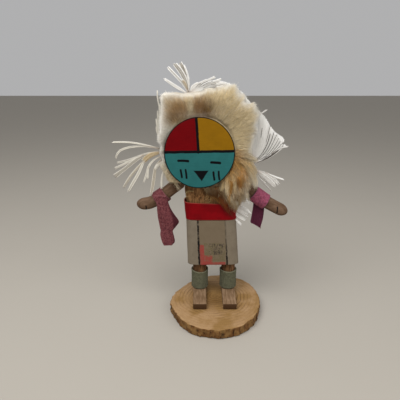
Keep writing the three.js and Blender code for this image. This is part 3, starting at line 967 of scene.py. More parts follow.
@dataclass(frozen=True)
class LogSlice:
    """The slice of a log that the doll stands on."""

    thickness: float = 9.5
    radii: tuple[float, ...] = (42.3, 45.5, 48.2, 46.7, 41.5, 40.0, 42.2, 42.5, 46.5, 47.7, 46.8, 43.2)
    flake_angle: float = 3.29  # where a flake of bark stands out, in radians
    knot_angle: float = radians(249)
    rows: int = 12
    steps: int = 300
    finish: SawnLog = SawnLog()

    def rim(self, angle: float) -> float:
        """Return the outline's radius at an angle."""
        return float(smooth_line([(r,) for r in self.radii], angle / tau, closed=True)[0, 0])

    def build(self) -> None:
        """Make the slice."""
        top = self.thickness
        profile = [(0.0, 0.0), (0.6, 0.0), (0.94, 0.0), (0.978, 0.25)]
        profile += [(1.0, 0.9 + (top - 1.6) * row / self.rows) for row in range(self.rows + 1)]
        profile += [(0.992, top - 0.25), (0.98, top)] + [(share / 16, top) for share in range(15, -1, -1)]
        bm = turned(profile, self.steps)
        for vert in bm.verts:
            share = hypot(vert.co.x, vert.co.y)
            if share < 1e-6:
                continue
            angle = atan2(vert.co.y, vert.co.x) % tau
            around = Vector((cos(angle), sin(angle), 0.0)) * 9
            radius = self.rim(angle) * share
            outer = smooth((share - 0.955) / 0.04)
            on_side = outer * (1 if 0.5 < vert.co.z < top - 0.4 else 0.35)
            spot = around + Vector((0, 0, vert.co.z * 0.08))
            chips = noise.fractal(spot, 0.7, 2.1, 4)
            ripple = 0.25 * sin(9 * angle + 1.3) + 0.12 * sin(23 * angle)
            turn = atan2(sin(angle - self.flake_angle), cos(angle - self.flake_angle))
            flake = 1.6 * exp(-((turn / 0.1) ** 2)) * (0.6 + 0.4 * sin(vert.co.z))
            radius += outer * (ripple - 0.3) + on_side * (1.1 * chips + flake)
            vert.co.x = radius * cos(angle)
            vert.co.y = radius * sin(angle)
            if vert.co.z > top - 0.1:
                vert.co.z += 0.12 * noise.noise(Vector((vert.co.x / 9, vert.co.y / 9, 0.0))) - 0.12
        edge = self.rim(self.knot_angle) - 0.6
        x, y = edge * cos(self.knot_angle), edge * sin(self.knot_angle)
        flake = self.rim(self.flake_angle)
        flake_x, flake_y = flake * cos(self.flake_angle), flake * sin(self.flake_angle)
        knots = (
            (x, y, top - 3.2, 0.6),
            (x - 5.2, y + 2.4, top - 1.4, 0.1),
            (flake_x - 0.8, flake_y, 4.8, 1.6),
        )
        finish = self.finish.material(knots)
        add_piece("base_slice_wood", to_mesh(bm, "base_slice_wood"), finish, "log_wood", "base_slice")


@dataclass(frozen=True)
class LegsAndFeet:
    """Two sawn blocks for feet, two dowels for legs, and a strip of green suede round each leg."""

    leg_x: tuple[tuple[Side, float], ...] = ((Side.LEFT, -14.8), (Side.RIGHT, 12.8))
    foot: Spot = (12.4, 40.0, 5.5)
    foot_front: float = -17.6
    foot_bottom: float = 9.8
    leg_radius: float = 6.5
    leg_heights: Pair = (15.6, 43.7)
    wrap_radius: float = 7.65
    wrap_bottom: float = 16.2
    wrap_height: float = 18.2
    wrap_wall: float = 1.1
    wrap_lap: float = 0.45  # in radians
    soft_end: float = 0.4  # how far a dowel's ends are rounded
    rubbed: float = 0.55  # how far a foot's corners are rounded

    def build(self) -> None:
        """Make both legs."""
        foot_wood = CarvedWood(
            "foot_wood", "#8a7057", "#685038", (1.0, 0.1, 1.0), 1.3, end_grain="#37200c"
        )
        leg_wood = CarvedWood("leg_wood", "#775537", "#412a17", (1.0, 1.0, 0.12))
        suede = Suede("green_suede", "#5a5a47", "#393929", "#7e7b64", mottle=0.45, blotch_mm=2.4)
        finishes = (foot_wood.material(), leg_wood.material(), suede.material())
        for side, x in self.leg_x:
            self._foot(side, x, finishes[0])
            self._leg(side, x, finishes[1])
            self._wrap(side, x, finishes[2])

    def _foot(self, side: Side, x: float, finish: Material) -> None:
        """Make a foot: a sawn block with its corners rubbed down.

        Args:
            side: Its side.
            x: Its middle across.
            finish: Its material.
        """
        width, length, height = self.foot
        bm = bmesh.new()
        middle = (x, self.foot_front + length / 2, self.foot_bottom + height / 2)
        size = Matrix.LocRotScale(middle, None, (width, length, height))
        bmesh.ops.create_cube(bm, size=1.0, matrix=size)
        bmesh.ops.bevel(
            bm, geom=bm.edges, offset=self.rubbed, offset_type="OFFSET", affect="EDGES", segments=3,
            profile=0.5, material=-1,
        )
        name = f"{side.value}_foot_block"
        add_piece(name, to_mesh(bm, name), finish, "foot_wood", f"{side.value}_foot")

    def _leg(self, side: Side, x: float, finish: Material) -> None:
        """Make a leg: a dowel with softened ends.

        Args:
            side: Its side.
            x: Its middle across.
            finish: Its material.
        """
        low, high = self.leg_heights
        radius, soft = self.leg_radius, self.soft_end
        profile = [(0.0, low), (radius - soft, low), (radius, low + soft)]
        profile += [(radius, low + (high - low) * row / 6) for row in range(1, 6)]
        profile += [(radius, high - soft), (radius - soft, high), (0.0, high)]
        bm = turned(profile, 64)
        bmesh.ops.translate(bm, vec=(x, FIGURE_Y, 0), verts=bm.verts)
        name = f"{side.value}_leg_dowel"
        add_piece(name, to_mesh(bm, name), finish, "leg_wood", f"{side.value}_leg")

    def _wrap(self, side: Side, x: float, finish: Material) -> None:
        """Make a wrap: a strip of suede wound once round the leg and glued down behind.

        Args:
            side: Its side.
            x: Its middle across.
            finish: Its material.
        """
        lap = self.wrap_lap
        length = self.wrap_radius * (tau + lap)
        tilt = 0.25 if side is Side.LEFT else -0.2

        def place(u: float, v: float) -> Spot:
            """Find a point of the strip.

            Args:
                u: The share of the way round the leg.
                v: The share of the way up.

            Returns:
                The point in mm.
            """
            angle = pi / 2 + lap / 2 + u * (tau + lap)
            radius = self.wrap_radius + (self.wrap_wall + 0.05) * smooth((u - 0.9) / 0.035)
            radius -= 0.25 * sin(pi * v) * (0.7 + 0.3 * sin(3 * angle))
            z = self.wrap_bottom + 0.1 + (self.wrap_height - 0.3) * v
            z += (0.25 * sin(2 * angle + 1) + tilt * sin(angle)) * (0.4 + 0.6 * v)
            return x + radius * cos(angle), FIGURE_Y + radius * sin(angle), z

        name = f"{side.value}_leg_wrap_suede"
        mesh = bent_sheet(name, 72, 10, (length, self.wrap_height), place)
        wrap = add_piece(name, mesh, finish, "green_suede", f"{side.value}_leg_wrap")
        give_wall(wrap, self.wrap_wall)


# ---- body and its clothes


@dataclass(frozen=True)
class Outline:
    """A level outline between an oval and a rectangle, walked by its own length from the back."""

    half_width: float
    half_depth: float
    squareness: float = 4.6

    def points(self) -> np.ndarray:
        """Walk the outline from the middle of the back round to it again.

        Returns:
            Closely spaced places, one row of x and y each.
        """
        angle = np.linspace(0.5 * pi, 2.5 * pi, 2881)
        across, depth = np.cos(angle), np.sin(angle)
        power = 2 / self.squareness
        return np.stack([
            self.half_width * np.sign(across) * np.abs(across) ** power,
            self.half_depth * np.sign(depth) * np.abs(depth) ** power,
        ], axis=1)

    def girth(self) -> float:
        """Return its length in mm."""
        return float(walked(self.points())[-1])

    def at(self, share: float) -> Pair:
        """Find a place on the outline.

        Args:
            share: The share of its length; beyond 1 it goes on round.

        Returns:
            The place's x and y.
        """
        points = self.points()
        length = walked(points)
        where = (share % 1.0) * length[-1]
        x, y = (float(np.interp(where, length, column)) for column in points.T)
        return x, y


@dataclass(frozen=True)
class WoundSheet:
    """A sheet of leather wound once round the body and glued down behind."""

    name: str
    bottom: float
    top: float
    low: Outline
    high: Outline
    wall: float
    slope: float = 0.0  # how far the top falls for each mm to the right
    lap: float = 6.0
    hem_wave: float = 0.25

    def build(self, finish: Material, slot: str, node: str) -> None:
        """Make the sheet.

        Args:
            finish: Its material.
            slot: The record's material slot.
            node: The node that it stands for.
        """
        girth = self.low.girth()
        lap = self.lap / girth
        height = self.top - self.bottom
        shares = {}

        def place(u: float, v: float) -> Spot:
            """Find a point of the sheet.

            Args:
                u: The share of the way round the body.
                v: The share of the way up.

            Returns:
                The point in mm.
            """
            walk = u * (1 + lap) - lap / 2
            if walk not in shares:
                shares[walk] = (*self.low.at(walk), *self.high.at(walk))
            low_x, low_y, high_x, high_y = shares[walk]
            dx, dy = low_x + (high_x - low_x) * v, low_y + (high_y - low_y) * v
            under = 1 - smooth((u - lap * 0.55) / 0.03)
            reach = hypot(dx, dy)
            inset = (self.wall + 0.05) * under + 0.12 * sin(3 * pi * v) * sin(9 * walk)
            dx, dy = dx * (1 - inset / reach), dy * (1 - inset / reach)
            z = self.bottom + height * v - self.slope * dx * v
            z += self.hem_wave * sin(11 * walk + 1) * (1 - v) * sin(5 * walk)
            return body_x(z) + dx, FIGURE_Y + dy, z

        mesh = bent_sheet(self.name, 150, 16, (girth + self.lap, height), place)
        sheet = add_piece(self.name, mesh, finish, slot, node)
        give_wall(sheet, self.wall)


@dataclass(frozen=True)
class Body:
    """The carved board of the trunk and head, the painted suede kilt and the red leather band."""

    kilt: WoundSheet = WoundSheet("kilt_suede", 43.2, 87.9, Outline(23.8, 9.6), Outline(22.6, 9.3), 1.1)
    band: WoundSheet = WoundSheet(
        "waist_band_leather", 88.5, 104.3, Outline(23.0, 9.65), Outline(23.6, 9.75), 0.95, 0.035, 8.0, 0.1
    )

    def build(self, nodes: Nodes) -> None:
        """Make the body and dress it.

        Args:
            nodes: The nodes by name.
        """
        wood = CarvedWood("body_wood", "#9e744a", "#50351d", (1.0, 1.0, 0.12), 1.4)
        torso = softened(nodes["body"], 1.2, 8)
        add_piece("torso", torso, wood.material(), "body_wood", "body")
        suede = PaintedSuede(
            "kilt_suede", "#796e5e", "#574e3f", "#8e836f", mottle=0.22, blotch_mm=7.0, edge_light=0.35
        )
        self.kilt.build(suede.material(), "kilt_suede", "kilt")
        self.band.build(DyedLeather().material(), "red_leather", "waist_band")


# ---- arms and their straps


@dataclass(frozen=True)
class Arm:
    """One whittled arm with a strip of suede looped over it."""

    side: Side
    line: tuple[Pair, ...]  # x and z of its middle line
    strap: Pair  # the stretch that the strip goes round, in shares of its length
    pen: Spot
    suede: Suede
    slot: str
    depth: float = 14.0
    half_width: float = 6.0
    half_depth: float = 5.3
    wall: float = 1.1
    lap: float = 0.5  # in radians

    def build(self, nodes: Nodes) -> Material:
        """Make the arm and the loop.

        Args:
            nodes: The nodes by name.

        Returns:
            The strip's material.
        """
        name = self.side.value
        grain = (0.12, 1.0, 0.2)
        wood = CarvedWood(f"{name}_arm_wood", "#6e5643", "#553f2d", grain, 1.4, pen=(self.pen,))
        limb = softened(nodes[f"{name}_arm"], 0.8, 14)
        add_piece(f"{name}_arm_limb", limb, wood.material(), "arm_wood", f"{name}_arm")
        points = smooth_line([(x, self.depth, z) for x, z in self.line], np.linspace(0, 1, 400))
        lengths = walked(points)
        start, end = (share * lengths[-1] for share in self.strap)
        lap = self.lap
        grow = 0.3 + self.wall / 2
        girth = (tau + lap) * (self.half_width + self.half_depth + 2 * grow) / 2

        def place(u: float, v: float) -> Spot:
            """Find a point of the loop.

            Args:
                u: The share of the way round the arm.
                v: The share of the way along it.

            Returns:
                The point in mm.
            """
            angle = -pi / 2 + u * (tau + lap)
            walk = start + (end - start) * v + 0.5 * sin(angle) * (v - 0.5)
            middle = np.array([np.interp(walk, lengths, points[:, axis]) for axis in range(3)])
            ahead = np.array([np.interp(walk + 0.5, lengths, points[:, axis]) for axis in range(3)])
            along = (ahead - middle) / np.linalg.norm(ahead - middle)
            across = np.cross(along, (0.0, 1.0, 0.0))
            over = grow + (self.wall + 0.1) * smooth((u - 0.86) / 0.05)
            over += 0.12 * sin(5 * angle + 6 * v)
            spot = middle + across * (self.half_width + over) * cos(angle)
            spot = spot - np.array([0.0, 1.0, 0.0]) * (self.half_depth + over) * sin(angle)
            return tuple(spot)

        title = f"{name}_arm_strap_loop"
        mesh = bent_sheet(title, 64, 12, (girth, end - start), place)
        finish = self.suede.material()
        loop = add_piece(title, mesh, finish, self.slot, f"{name}_arm_strap")
        give_wall(loop, self.wall)
        return finish


@dataclass(frozen=True)
class StrapTail:
    """The hanging end of a strip, as (height, left, fold, right) rows from its top to its bottom.

    Left of the fold it faces front; right of it, it is turned back and darker: its underside's own
    colour, deepened with painted shade. A tail may show this shaded underside all over.
    """

    name: str
    slot: str
    rows: tuple[tuple[float, float, float, float], ...]
    front: float
    back: float
    wall: float = 0.9
    # darkens the whole tail as underside: partly its own colour, partly painted shade
    underside: bool = False
    fold_share: float = 0.68  # how much of the sheet's columns lie left of the fold

    def build(self, finish: Material, loop: str) -> None:
        """Make the tail.

        Args:
            finish: Its material.
            loop: The name of the loop that it hangs from; not used.
        """
        table = np.array(self.rows)
        heights = table[:, 0]
        length = float(heights[0] - heights[-1])
        widest = float((table[:, 3] - table[:, 1]).max())

        def place(u: float, v: float) -> Spot:
            """Find a point of the tail.

            Args:
                u: The share of the way across.
                v: The share of the way down.

            Returns:
                The point in mm.
            """
            z, left, fold, right = smooth_line(table, v)[0]
            if u < self.fold_share:
                x = left + (fold - left) * u / self.fold_share
                y = self.front + 0.5 * sin(u * 5 + z / 6) - 0.5 * smooth(u / self.fold_share)
            else:
                beyond = (u - self.fold_share) / (1 - self.fold_share)
                x = fold + (right - fold) * beyond
                turned_in = (self.back - self.front) * smooth(beyond) * min(1.0, (right - fold) / 4)
                y = self.front - 0.4 + turned_in
            return x, y, z

        mesh = bent_sheet(self.name, 26, 40, (widest, length), place)
        turned_back = mesh.attributes.new("turned_back", "FLOAT", "POINT")
        shares = np.zeros(len(mesh.vertices))
        for index, vert in enumerate(mesh.vertices):
            z = vert.co.z / MM
            fold = float(np.interp(-z, -heights, table[:, 2]))
            shares[index] = 1.0 if self.underside else smooth((vert.co.x / MM - fold) / 1.2)
        turned_back.data.foreach_set("value", shares.astype(np.float32))
        tail = add_piece(self.name, mesh, finish, self.slot)
        give_wall(tail, self.wall)


class Arms:
    """Both arms with their straps."""

    def build(self, nodes: Nodes) -> None:
        """Make both arms.

        Args:
            nodes: The nodes by name.
        """
        pink = Suede("pink_suede", "#6a373a", "#441921", "#8c5c5d", mottle=0.75, blotch_mm=1.8)
        magenta = Suede("magenta_suede", "#91485c", "#44182d", "#946379", mottle=0.55, blotch_mm=2.2)
        left_line = ((-22, 130), (-39, 117.2), (-52, 107), (-60, 102.6), (-72.8, 101))
        right_line = ((14, 127), (35, 111), (46.5, 103.2), (66, 92.6))
        left = Arm(Side.LEFT, left_line, (0.5, 0.68), (-63.8, 99.0, 2.5), pink, "pink_suede")
        right = Arm(Side.RIGHT, right_line, (0.4, 0.63), (56.0, 97.0, 3.3), magenta, "magenta_suede")
        pink_finish = left.build(nodes)
        magenta_finish = right.build(nodes)
        StrapTail("left_arm_strap_tail", "pink_suede", (
            (111.5, -56, -45.4, -44.8), (104.5, -53.8, -44.2, -43.2),
            (98, -53.4, -43, -41), (91, -53, -40.8, -37.4),
            (85, -52.2, -39.8, -34.2), (80.5, -51.5, -39.8, -36.8),
            (77.6, -51, -40.6, -39.8), (73.2, -51.4, -40.4, -39.2),
            (66.5, -49.8, -39.6, -38.2), (63, -48.2, -42, -40.8),
        ), 6.9, 12.0).build(pink_finish, "left_arm_strap_loop")
        StrapTail("right_arm_strap_tail", "magenta_suede", (
            (103, 35.2, 44.8, 45.4), (95, 34.6, 44.7, 45.3),
            (87, 33.8, 44.2, 44.8), (81.6, 33.3, 43.2, 43.8),
            (79.6, 36.4, 42.8, 43.3), (77.8, 39.8, 42.6, 42.9),
            (76.5, 42.1, 42.5, 42.7),
        ), 17.8, 18.4, underside=True).build(magenta_finish, "right_arm_strap_loop")


# ---- mask


@dataclass(frozen=True)
class Mask:
    """The round board of the face."""

    middle: Spot = (-15.0, 0.4, 151.7)
    radius: float = 30.1
    thickness: float = 4.0
    tilt: float = radians(-6)
    paint: MaskPaint = MaskPaint()

    def build(self) -> None:
        """Make the mask."""
        half = self.thickness / 2
        radius = self.radius
        profile = [(0.0, -half), (radius - 0.5, -half), (radius, -half + 0.5), (radius, half - 0.55)]
        profile += [(radius - 0.18, half - 0.16), (radius - 0.6, half)]
        profile += [(radius * share, half) for share in (0.94, 0.5, 0.0)]
        bm = turned(profile, 128)
        layer = bm.loops.layers.uv.new("face")
        painted = bm.verts.layers.float.new("painted")
        for vert in bm.verts:
            vert[painted] = 1.0 if vert.co.z > 0 else 0.0
        for face in bm.faces:
            for loop in face.loops:
                loop[layer].uv = (loop.vert.co.x / radius, loop.vert.co.y / radius)
        turn = Matrix.Rotation(self.tilt, 4, "X") @ Matrix.Rotation(pi / 2, 4, "X")
        bmesh.ops.transform(bm, matrix=Matrix.Translation(self.middle) @ turn, verts=bm.verts)
        mesh = to_mesh(bm, "mask_board")
        add_piece("mask_board", mesh, self.paint.material(), "painted_wood", "mask_disc")


# ---- fur


@dataclass(frozen=True)
class Patch:
    """A soft-edged patch of another colour in the fur, in mm round a middle x and z."""

    x: float
    z: float
    width: float
    height: float
    tone: str
    share: float


@dataclass(frozen=True)
class FurRuff:
    """The ruff of rabbit fur round the mask: a soft skin with thousands of fine hairs on it."""

    middle: Pair = (-15.0, 151.7)
    mask_radius: float = 30.1
    cream: str = "#e8d3a6"
    pale: str = "#f0e8d4"
    edge: str = "#f6f3ec"
    golden: str = "#b08346"
    seed: int = 7
    reach_bins: int = 72
    beyond: float = 1.2  # how far the longest hairs stand out past the skin's outline
    over_fan: float = 8.5  # how much further they reach where the fan lies behind them
    fan_turns: Pair = (0.075, 0.2)  # the shares of a turn between which it does
    parting_y: float = 15.0  # where the front's fur meets the back's
    low_z: float = 135.0  # the height below which the fur at the right hangs
    rim_z: float = 138.0  # the height above which the tips at the outline are white
    hidden_y: float = 16.0  # how far back the mask hides the skin
    mask_back: Pair = (3.4, 0.105)  # y of the mask's back, and its lean for each mm up
    clearance: float = 0.5
    patches: tuple[Patch, ...] = (
        Patch(-45, 165, 8, 26, "#f1ebdd", 0.95),
        Patch(-40, 201, 12, 4, "#efe6d0", 0.8),
        Patch(41, 162, 8, 20, "#f5f1e8", 0.97),
        Patch(-33, 188, 10, 9, "#ad8a5c", 1.0),
        Patch(-38, 181, 6, 5, "#93703f", 0.8),
        Patch(-14.5, 190, 8, 8.5, "#aa8456", 1.0),
        Patch(-9, 185, 4.5, 4, "#82602f", 0.95),
        Patch(-22.5, 188, 2.2, 9, "#e0d0aa", 0.9),
        Patch(-15, 182.5, 18, 2.0, "#dcc7b2", 0.6),
        Patch(16.5, 144, 6, 7, "#9a6f35", 0.95),
        Patch(20, 134, 8, 7, "#c4954d", 0.6),
        Patch(17, 118, 5, 14, "#be8e4b", 0.75),
        Patch(30, 118, 6, 12, "#ece0c8", 0.7),
        Patch(-1, 112, 10, 12, "#6f4720", 1.0),
    )

    def tone(self, spots: np.ndarray, rng: Random) -> np.ndarray:
        """Find the fur's colour, a little different for each place.

        Args:
            spots: Places in mm.
            rng: The source of unevenness.

        Returns:
            One linear colour for each place.
        """
        colours = np.repeat(tones(self.cream), len(spots), axis=0)
        x, y, z = spots.T
        front = np.clip((self.parting_y - y) / 9, 0, 1)
        for patch in self.patches:
            reach = ((x - patch.x) / patch.width) ** 2 + ((z - patch.z) / patch.height) ** 2
            ragged = np.exp(-reach * (0.7 + 0.6 * rng.random(len(spots))))
            share = (patch.share * front * np.clip(1.5 * ragged, 0, 1))[:, None]
            colours = colours * (1 - share) + tones(patch.tone) * share
        mottled = np.sin(x / 6.1 + z / 9.7) * np.cos(z / 7.3 - y / 5.9)
        brown = ((0.12 + 0.12 * mottled) * (1 - front))[:, None]
        colours = colours * (1 - brown) + tones(self.golden) * brown
        brightness = np.clip(colours.sum(axis=1) / tones(self.cream).sum(), 0.1, 1)
        light = (rng.random(len(spots)) ** 3 * 0.45 * brightness**2)[:, None]
        colours = colours * (1 - light) + tones(self.pale) * light
        return colours * rng.uniform(0.9, 1.06, (len(spots), 1))

    def _turn(self, spots: np.ndarray) -> tuple[np.ndarray, np.ndarray]:
        """Return places' shares of a turn round the mask's middle, and their distances from it."""
        across, up = spots[..., 0] - self.middle[0], spots[..., 2] - self.middle[1]
        return np.arctan2(up, across) / tau % 1.0, np.hypot(across, up)

    def _outline(self, spots: np.ndarray) -> Field:
        """Measure the outline of places seen from the front.

        Args:
            spots: The places in mm.

        Returns:
            A function that gives the furthest reach at shares of a turn.
        """
        turn, reach = self._turn(spots)
        furthest = np.zeros(self.reach_bins)
        np.maximum.at(furthest, (turn * self.reach_bins).astype(int) % self.reach_bins, reach)
        centres = (np.arange(self.reach_bins) + 0.5) / self.reach_bins
        return lambda where: np.interp(where, centres, furthest, period=1.0)

    def hairs(self, skin: Mesh, count: int, wanted: Field, seed: int, fan_edge: Field) -> Strands:
        """Grow hairs from the skin.

        Args:
            skin: The skin, in metres.
            count: How many hairs.
            wanted: Gives, for places in mm, whether hairs grow there.
            seed: The seed of their unevenness.
            fan_edge: Gives how far the fan reaches in mm at a share of a turn.

        Returns:
            The hairs.
        """
        rng = np.random.default_rng(seed)
        outline = self._outline(places_of(skin))
        roots, normals = self._roots(skin, count, wanted, rng)
        radial = roots - np.array([self.middle[0], 0, self.middle[1]])
        radial[:, 1] = 0
        radial = unit(radial)
        hanging = np.clip((roots[:, 0] - 2) / 12, 0, 1) * np.clip((138 - roots[:, 2]) / 16, 0, 1)
        flank = np.clip((normals * radial).sum(axis=1), 0, 1) * np.clip((roots[:, 1] + 1) / 5, 0, 1)
        behind = np.clip(normals[:, 1], 0, 1)
        spread = (0.95 - 0.5 * hanging) * (1 - 0.7 * flank) * (1 - 0.6 * behind)
        growth = radial * spread[:, None] + normals * (0.34 - 0.1 * flank)[:, None]
        turn, reach = self._turn(roots)
        first, last = self.fan_turns
        over = np.clip((turn - first) / 0.02, 0, 1) * np.clip((last - turn) / 0.03, 0, 1)
        over = over * (roots[:, 1] < 19)
        growth += radial * (0.5 * over * flank)[:, None]
        growth[:, 1] += 0.8 * flank * (1 - 0.35 * over)
        growth[:, 2] -= np.maximum(1.1 * hanging, 0.7 * behind) + 0.25 * flank
        growth += rng.normal(0, 0.08, growth.shape)
        x, y, z = roots.T
        sway = np.stack([np.sin(z / 5 + y / 3), np.cos(x / 6), np.sin(x / 4.3)], axis=1)
        growth += (0.03 + 0.12 * hanging)[:, None] * sway
        growth /= np.linalg.norm(growth, axis=1, keepdims=True)
        longer = np.clip(fan_edge(turn) - 0.8 - outline(turn), 0, self.over_fan) * over
        room = outline(turn) + longer + self.beyond * rng.uniform(0.1, 1.0, count) ** 0.6 - reach
        outward = np.maximum((growth * radial).sum(axis=1), 0.25)
        lengths = rng.uniform(6.0, 10.5, count) * (1 + 0.6 * hanging + 0.4 * over)
        lengths = np.minimum(lengths, (np.maximum(room, 1.2) + 2.5 * hanging) / outward)
        t = np.linspace(0, 1, 4)[None, :, None]
        droop = rng.normal(0, 0.1, growth.shape) - 0.12 * normals
        droop[:, 2] -= 0.06 + 0.25 * hanging
        paths = roots[:, None] + (growth[:, None] * t + droop[:, None] * t**2) * lengths[:, None, None]
        nearest = self._nearest(roots, max(20, count // 12), rng)
        pull = (rng.uniform(0.0, 0.14, count) + 0.03 + 0.6 * hanging)[:, None, None] * t**1.5
        paths = self._clear_of_mask(paths + (paths[nearest] - paths) * pull)
        tip_turn, tip_reach = self._turn(paths[:, -1])
        rim = np.clip((tip_reach / (outline(tip_turn) + longer) - 0.965) / 0.04, 0, 1)
        rim = rim * np.clip((roots[:, 2] - self.rim_z) / 8, 0, 1)
        colours = self._colours(roots, paths[:, -1], nearest, rim, hanging, rng)
        widths = rng.uniform(0.11, 0.19, (count, 1)) * np.array([1.0, 1.0, 0.75, 0.1])
        facing = normals + rng.normal(0, 0.2, normals.shape)
        return Strands(paths, widths, widths * 0.7, facing, colours)

    def _roots(
        self, skin: Mesh, count: int, wanted: Field, rng: Random
    ) -> tuple[np.ndarray, np.ndarray]:
        """Choose where hairs leave the skin, evenly by area.

        Args:
            skin: The skin, in metres.
            count: How many hairs.
            wanted: Gives, for places in mm, whether hairs grow there.
            rng: The source of unevenness.

        Returns:
            The places in mm, and the ways that the skin faces there.
        """
        skin.calc_loop_triangles()
        corners = np.empty(len(skin.loop_triangles) * 3, np.int32)
        skin.loop_triangles.foreach_get("vertices", corners)
        a, b, c = places_of(skin)[corners].reshape(-1, 3, 3).swapaxes(0, 1)
        normals = np.cross(b - a, c - a)
        areas = np.linalg.norm(normals, axis=1)
        normals /= areas[:, None] + 1e-12
        areas = areas * wanted((a + b + c) / 3)
        chosen = rng.choice(len(areas), count, p=areas / areas.sum())
        mix = rng.dirichlet((1, 1, 1), count)
        roots = mix[:, :1] * a[chosen] + mix[:, 1:2] * b[chosen] + mix[:, 2:] * c[chosen]
        return roots, normals[chosen]

    def _colours(
        self, roots: np.ndarray, tips: np.ndarray, nearest: np.ndarray, rim: np.ndarray,
        hanging: np.ndarray, rng: Random,
    ) -> np.ndarray:
        """Colour hairs from root to tip.

        Args:
            roots: Where they start, in mm.
            tips: Where they end, in mm.
            nearest: Each one's guide hair.
            rim: How far each one's tip is white.
            hanging: How far each one belongs to the hanging locks.
            rng: The source of unevenness.

        Returns:
            Four linear colours for each hair.
        """
        count = len(roots)
        t = np.linspace(0, 1, 4)[None, :, None]
        root_tone = self.tone(roots, rng)
        tip_tone = self.tone(tips, rng)
        colours = root_tone[:, None] * (1 - t) * 0.86 + tip_tone[:, None] * t
        edge = (0.75 * rim)[:, None, None] * t**0.6
        colours = colours * (1 - edge) + tones(self.edge) * edge
        tuft = rng.random(count)[nearest]
        drawn = (0.6 * hanging)[:, None, None]
        locks = tones(self.golden) * (1 - tuft[:, None]) + tones(self.pale) * tuft[:, None]
        return colours * (1 - drawn) + (locks * rng.uniform(0.75, 1.1, (count, 1)))[:, None] * drawn

    def _nearest(self, roots: np.ndarray, guides: int, rng: Random) -> np.ndarray:
        """Find each hair's guide hair, towards which fur separates into tufts.

        Args:
            roots: Where the hairs start.
            guides: How many of them are guides.
            rng: The source of unevenness.

        Returns:
            The number of each hair's nearest guide.
        """
        chosen = rng.choice(len(roots), guides, replace=False)
        nearest = np.empty(len(roots), int)
        block = 2000  # as many at a time as memory holds easily
        for start in range(0, len(roots), block):
            some = roots[start : start + block]
            gap = ((some[:, None] - roots[chosen][None]) ** 2).sum(axis=2)
            nearest[start : start + block] = chosen[gap.argmin(axis=1)]
        return nearest

    def _clear_of_mask(self, paths: np.ndarray) -> np.ndarray:
        """Push what would cross the mask out past its edge.

        Args:
            paths: The hairs' points in mm, which are changed.

        Returns:
            The same points.
        """
        offset = paths[..., [0, 2]] - np.array(self.middle)
        reach = np.linalg.norm(offset, axis=-1)
        back = self.mask_back[0] + self.mask_back[1] * offset[..., 1]
        clear = self.mask_radius + self.clearance
        crossing = (reach < clear) & (paths[..., 1] < back)
        paths[..., 1] = np.where(crossing & (reach < self.mask_radius - 3), back, paths[..., 1])
        push = np.where(crossing, clear / np.maximum(reach, 1e-6), 1.0)
        near = crossing & (reach >= self.mask_radius - 3)
        for axis, column in ((0, 0), (2, 1)):
            pushed = self.middle[column] + offset[..., column] * push
            paths[..., axis] = np.where(near, pushed, paths[..., axis])
        return paths

    def build(self, nodes: Nodes) -> None:
        """Make the skin and the coat.

        Args:
            nodes: The nodes by name.
        """
        finish = Coat("rabbit_fur").material()
        fan = nodes["right_upper_feathers"]
        corners = [fan.matrix_world @ vertex.co for vertex in fan.data.vertices]
        fan_edge = self._outline(np.array(corners) / MM)
        skin = softened(nodes["fur_ruff"], 1.4, 24, inset=0.4)
        rng = np.random.default_rng(self.seed)
        paint(skin, self.tone(places_of(skin), rng) * 0.85)
        add_piece("fur_skin", skin, finish, "fur", "fur_ruff")

        def seen(x: np.ndarray, y: np.ndarray, z: np.ndarray) -> np.ndarray:
            """Return whether hair would show: not behind the mask or against the body."""
            reach = np.hypot(x - self.middle[0], z - self.middle[1])
            return (reach >= self.mask_radius - 2) | (y >= self.hidden_y)

        middle, low, parting = self.middle[0], self.low_z, self.parting_y
        regions = {
            "fur_front_left": (11500, lambda x, y, z: (x < middle) & (y < parting)),
            "fur_front_right": (12200, lambda x, y, z: (x >= middle) & (z >= low) & (y < parting)),
            "fur_low_right": (6500, lambda x, y, z: (x >= middle) & (z < low) & (y < parting)),
            "fur_back": (12000, lambda x, y, z: y >= parting),
        }
        for index, (name, (count, inside)) in enumerate(regions.items()):
            coat = self.hairs(
                skin, count, lambda spots: seen(*spots.T) & inside(*spots.T), self.seed + index, fan_edge
            )
            add_piece(name, coat.mesh(name), finish, "fur")


@dataclass(frozen=True)
class Lock:
    """Hairs that run the same way: x and z places, the spread where they start and where they
    end, the depth they start from when nothing is under them, and how far they lie off it, in mm."""

    way: tuple[Pair, ...]
    hairs: int
    spread: Pair
    y: float
    tone: str
    tip: str
    half_width: float = 0.16
    lift: Pair = (0.1, 0.9)


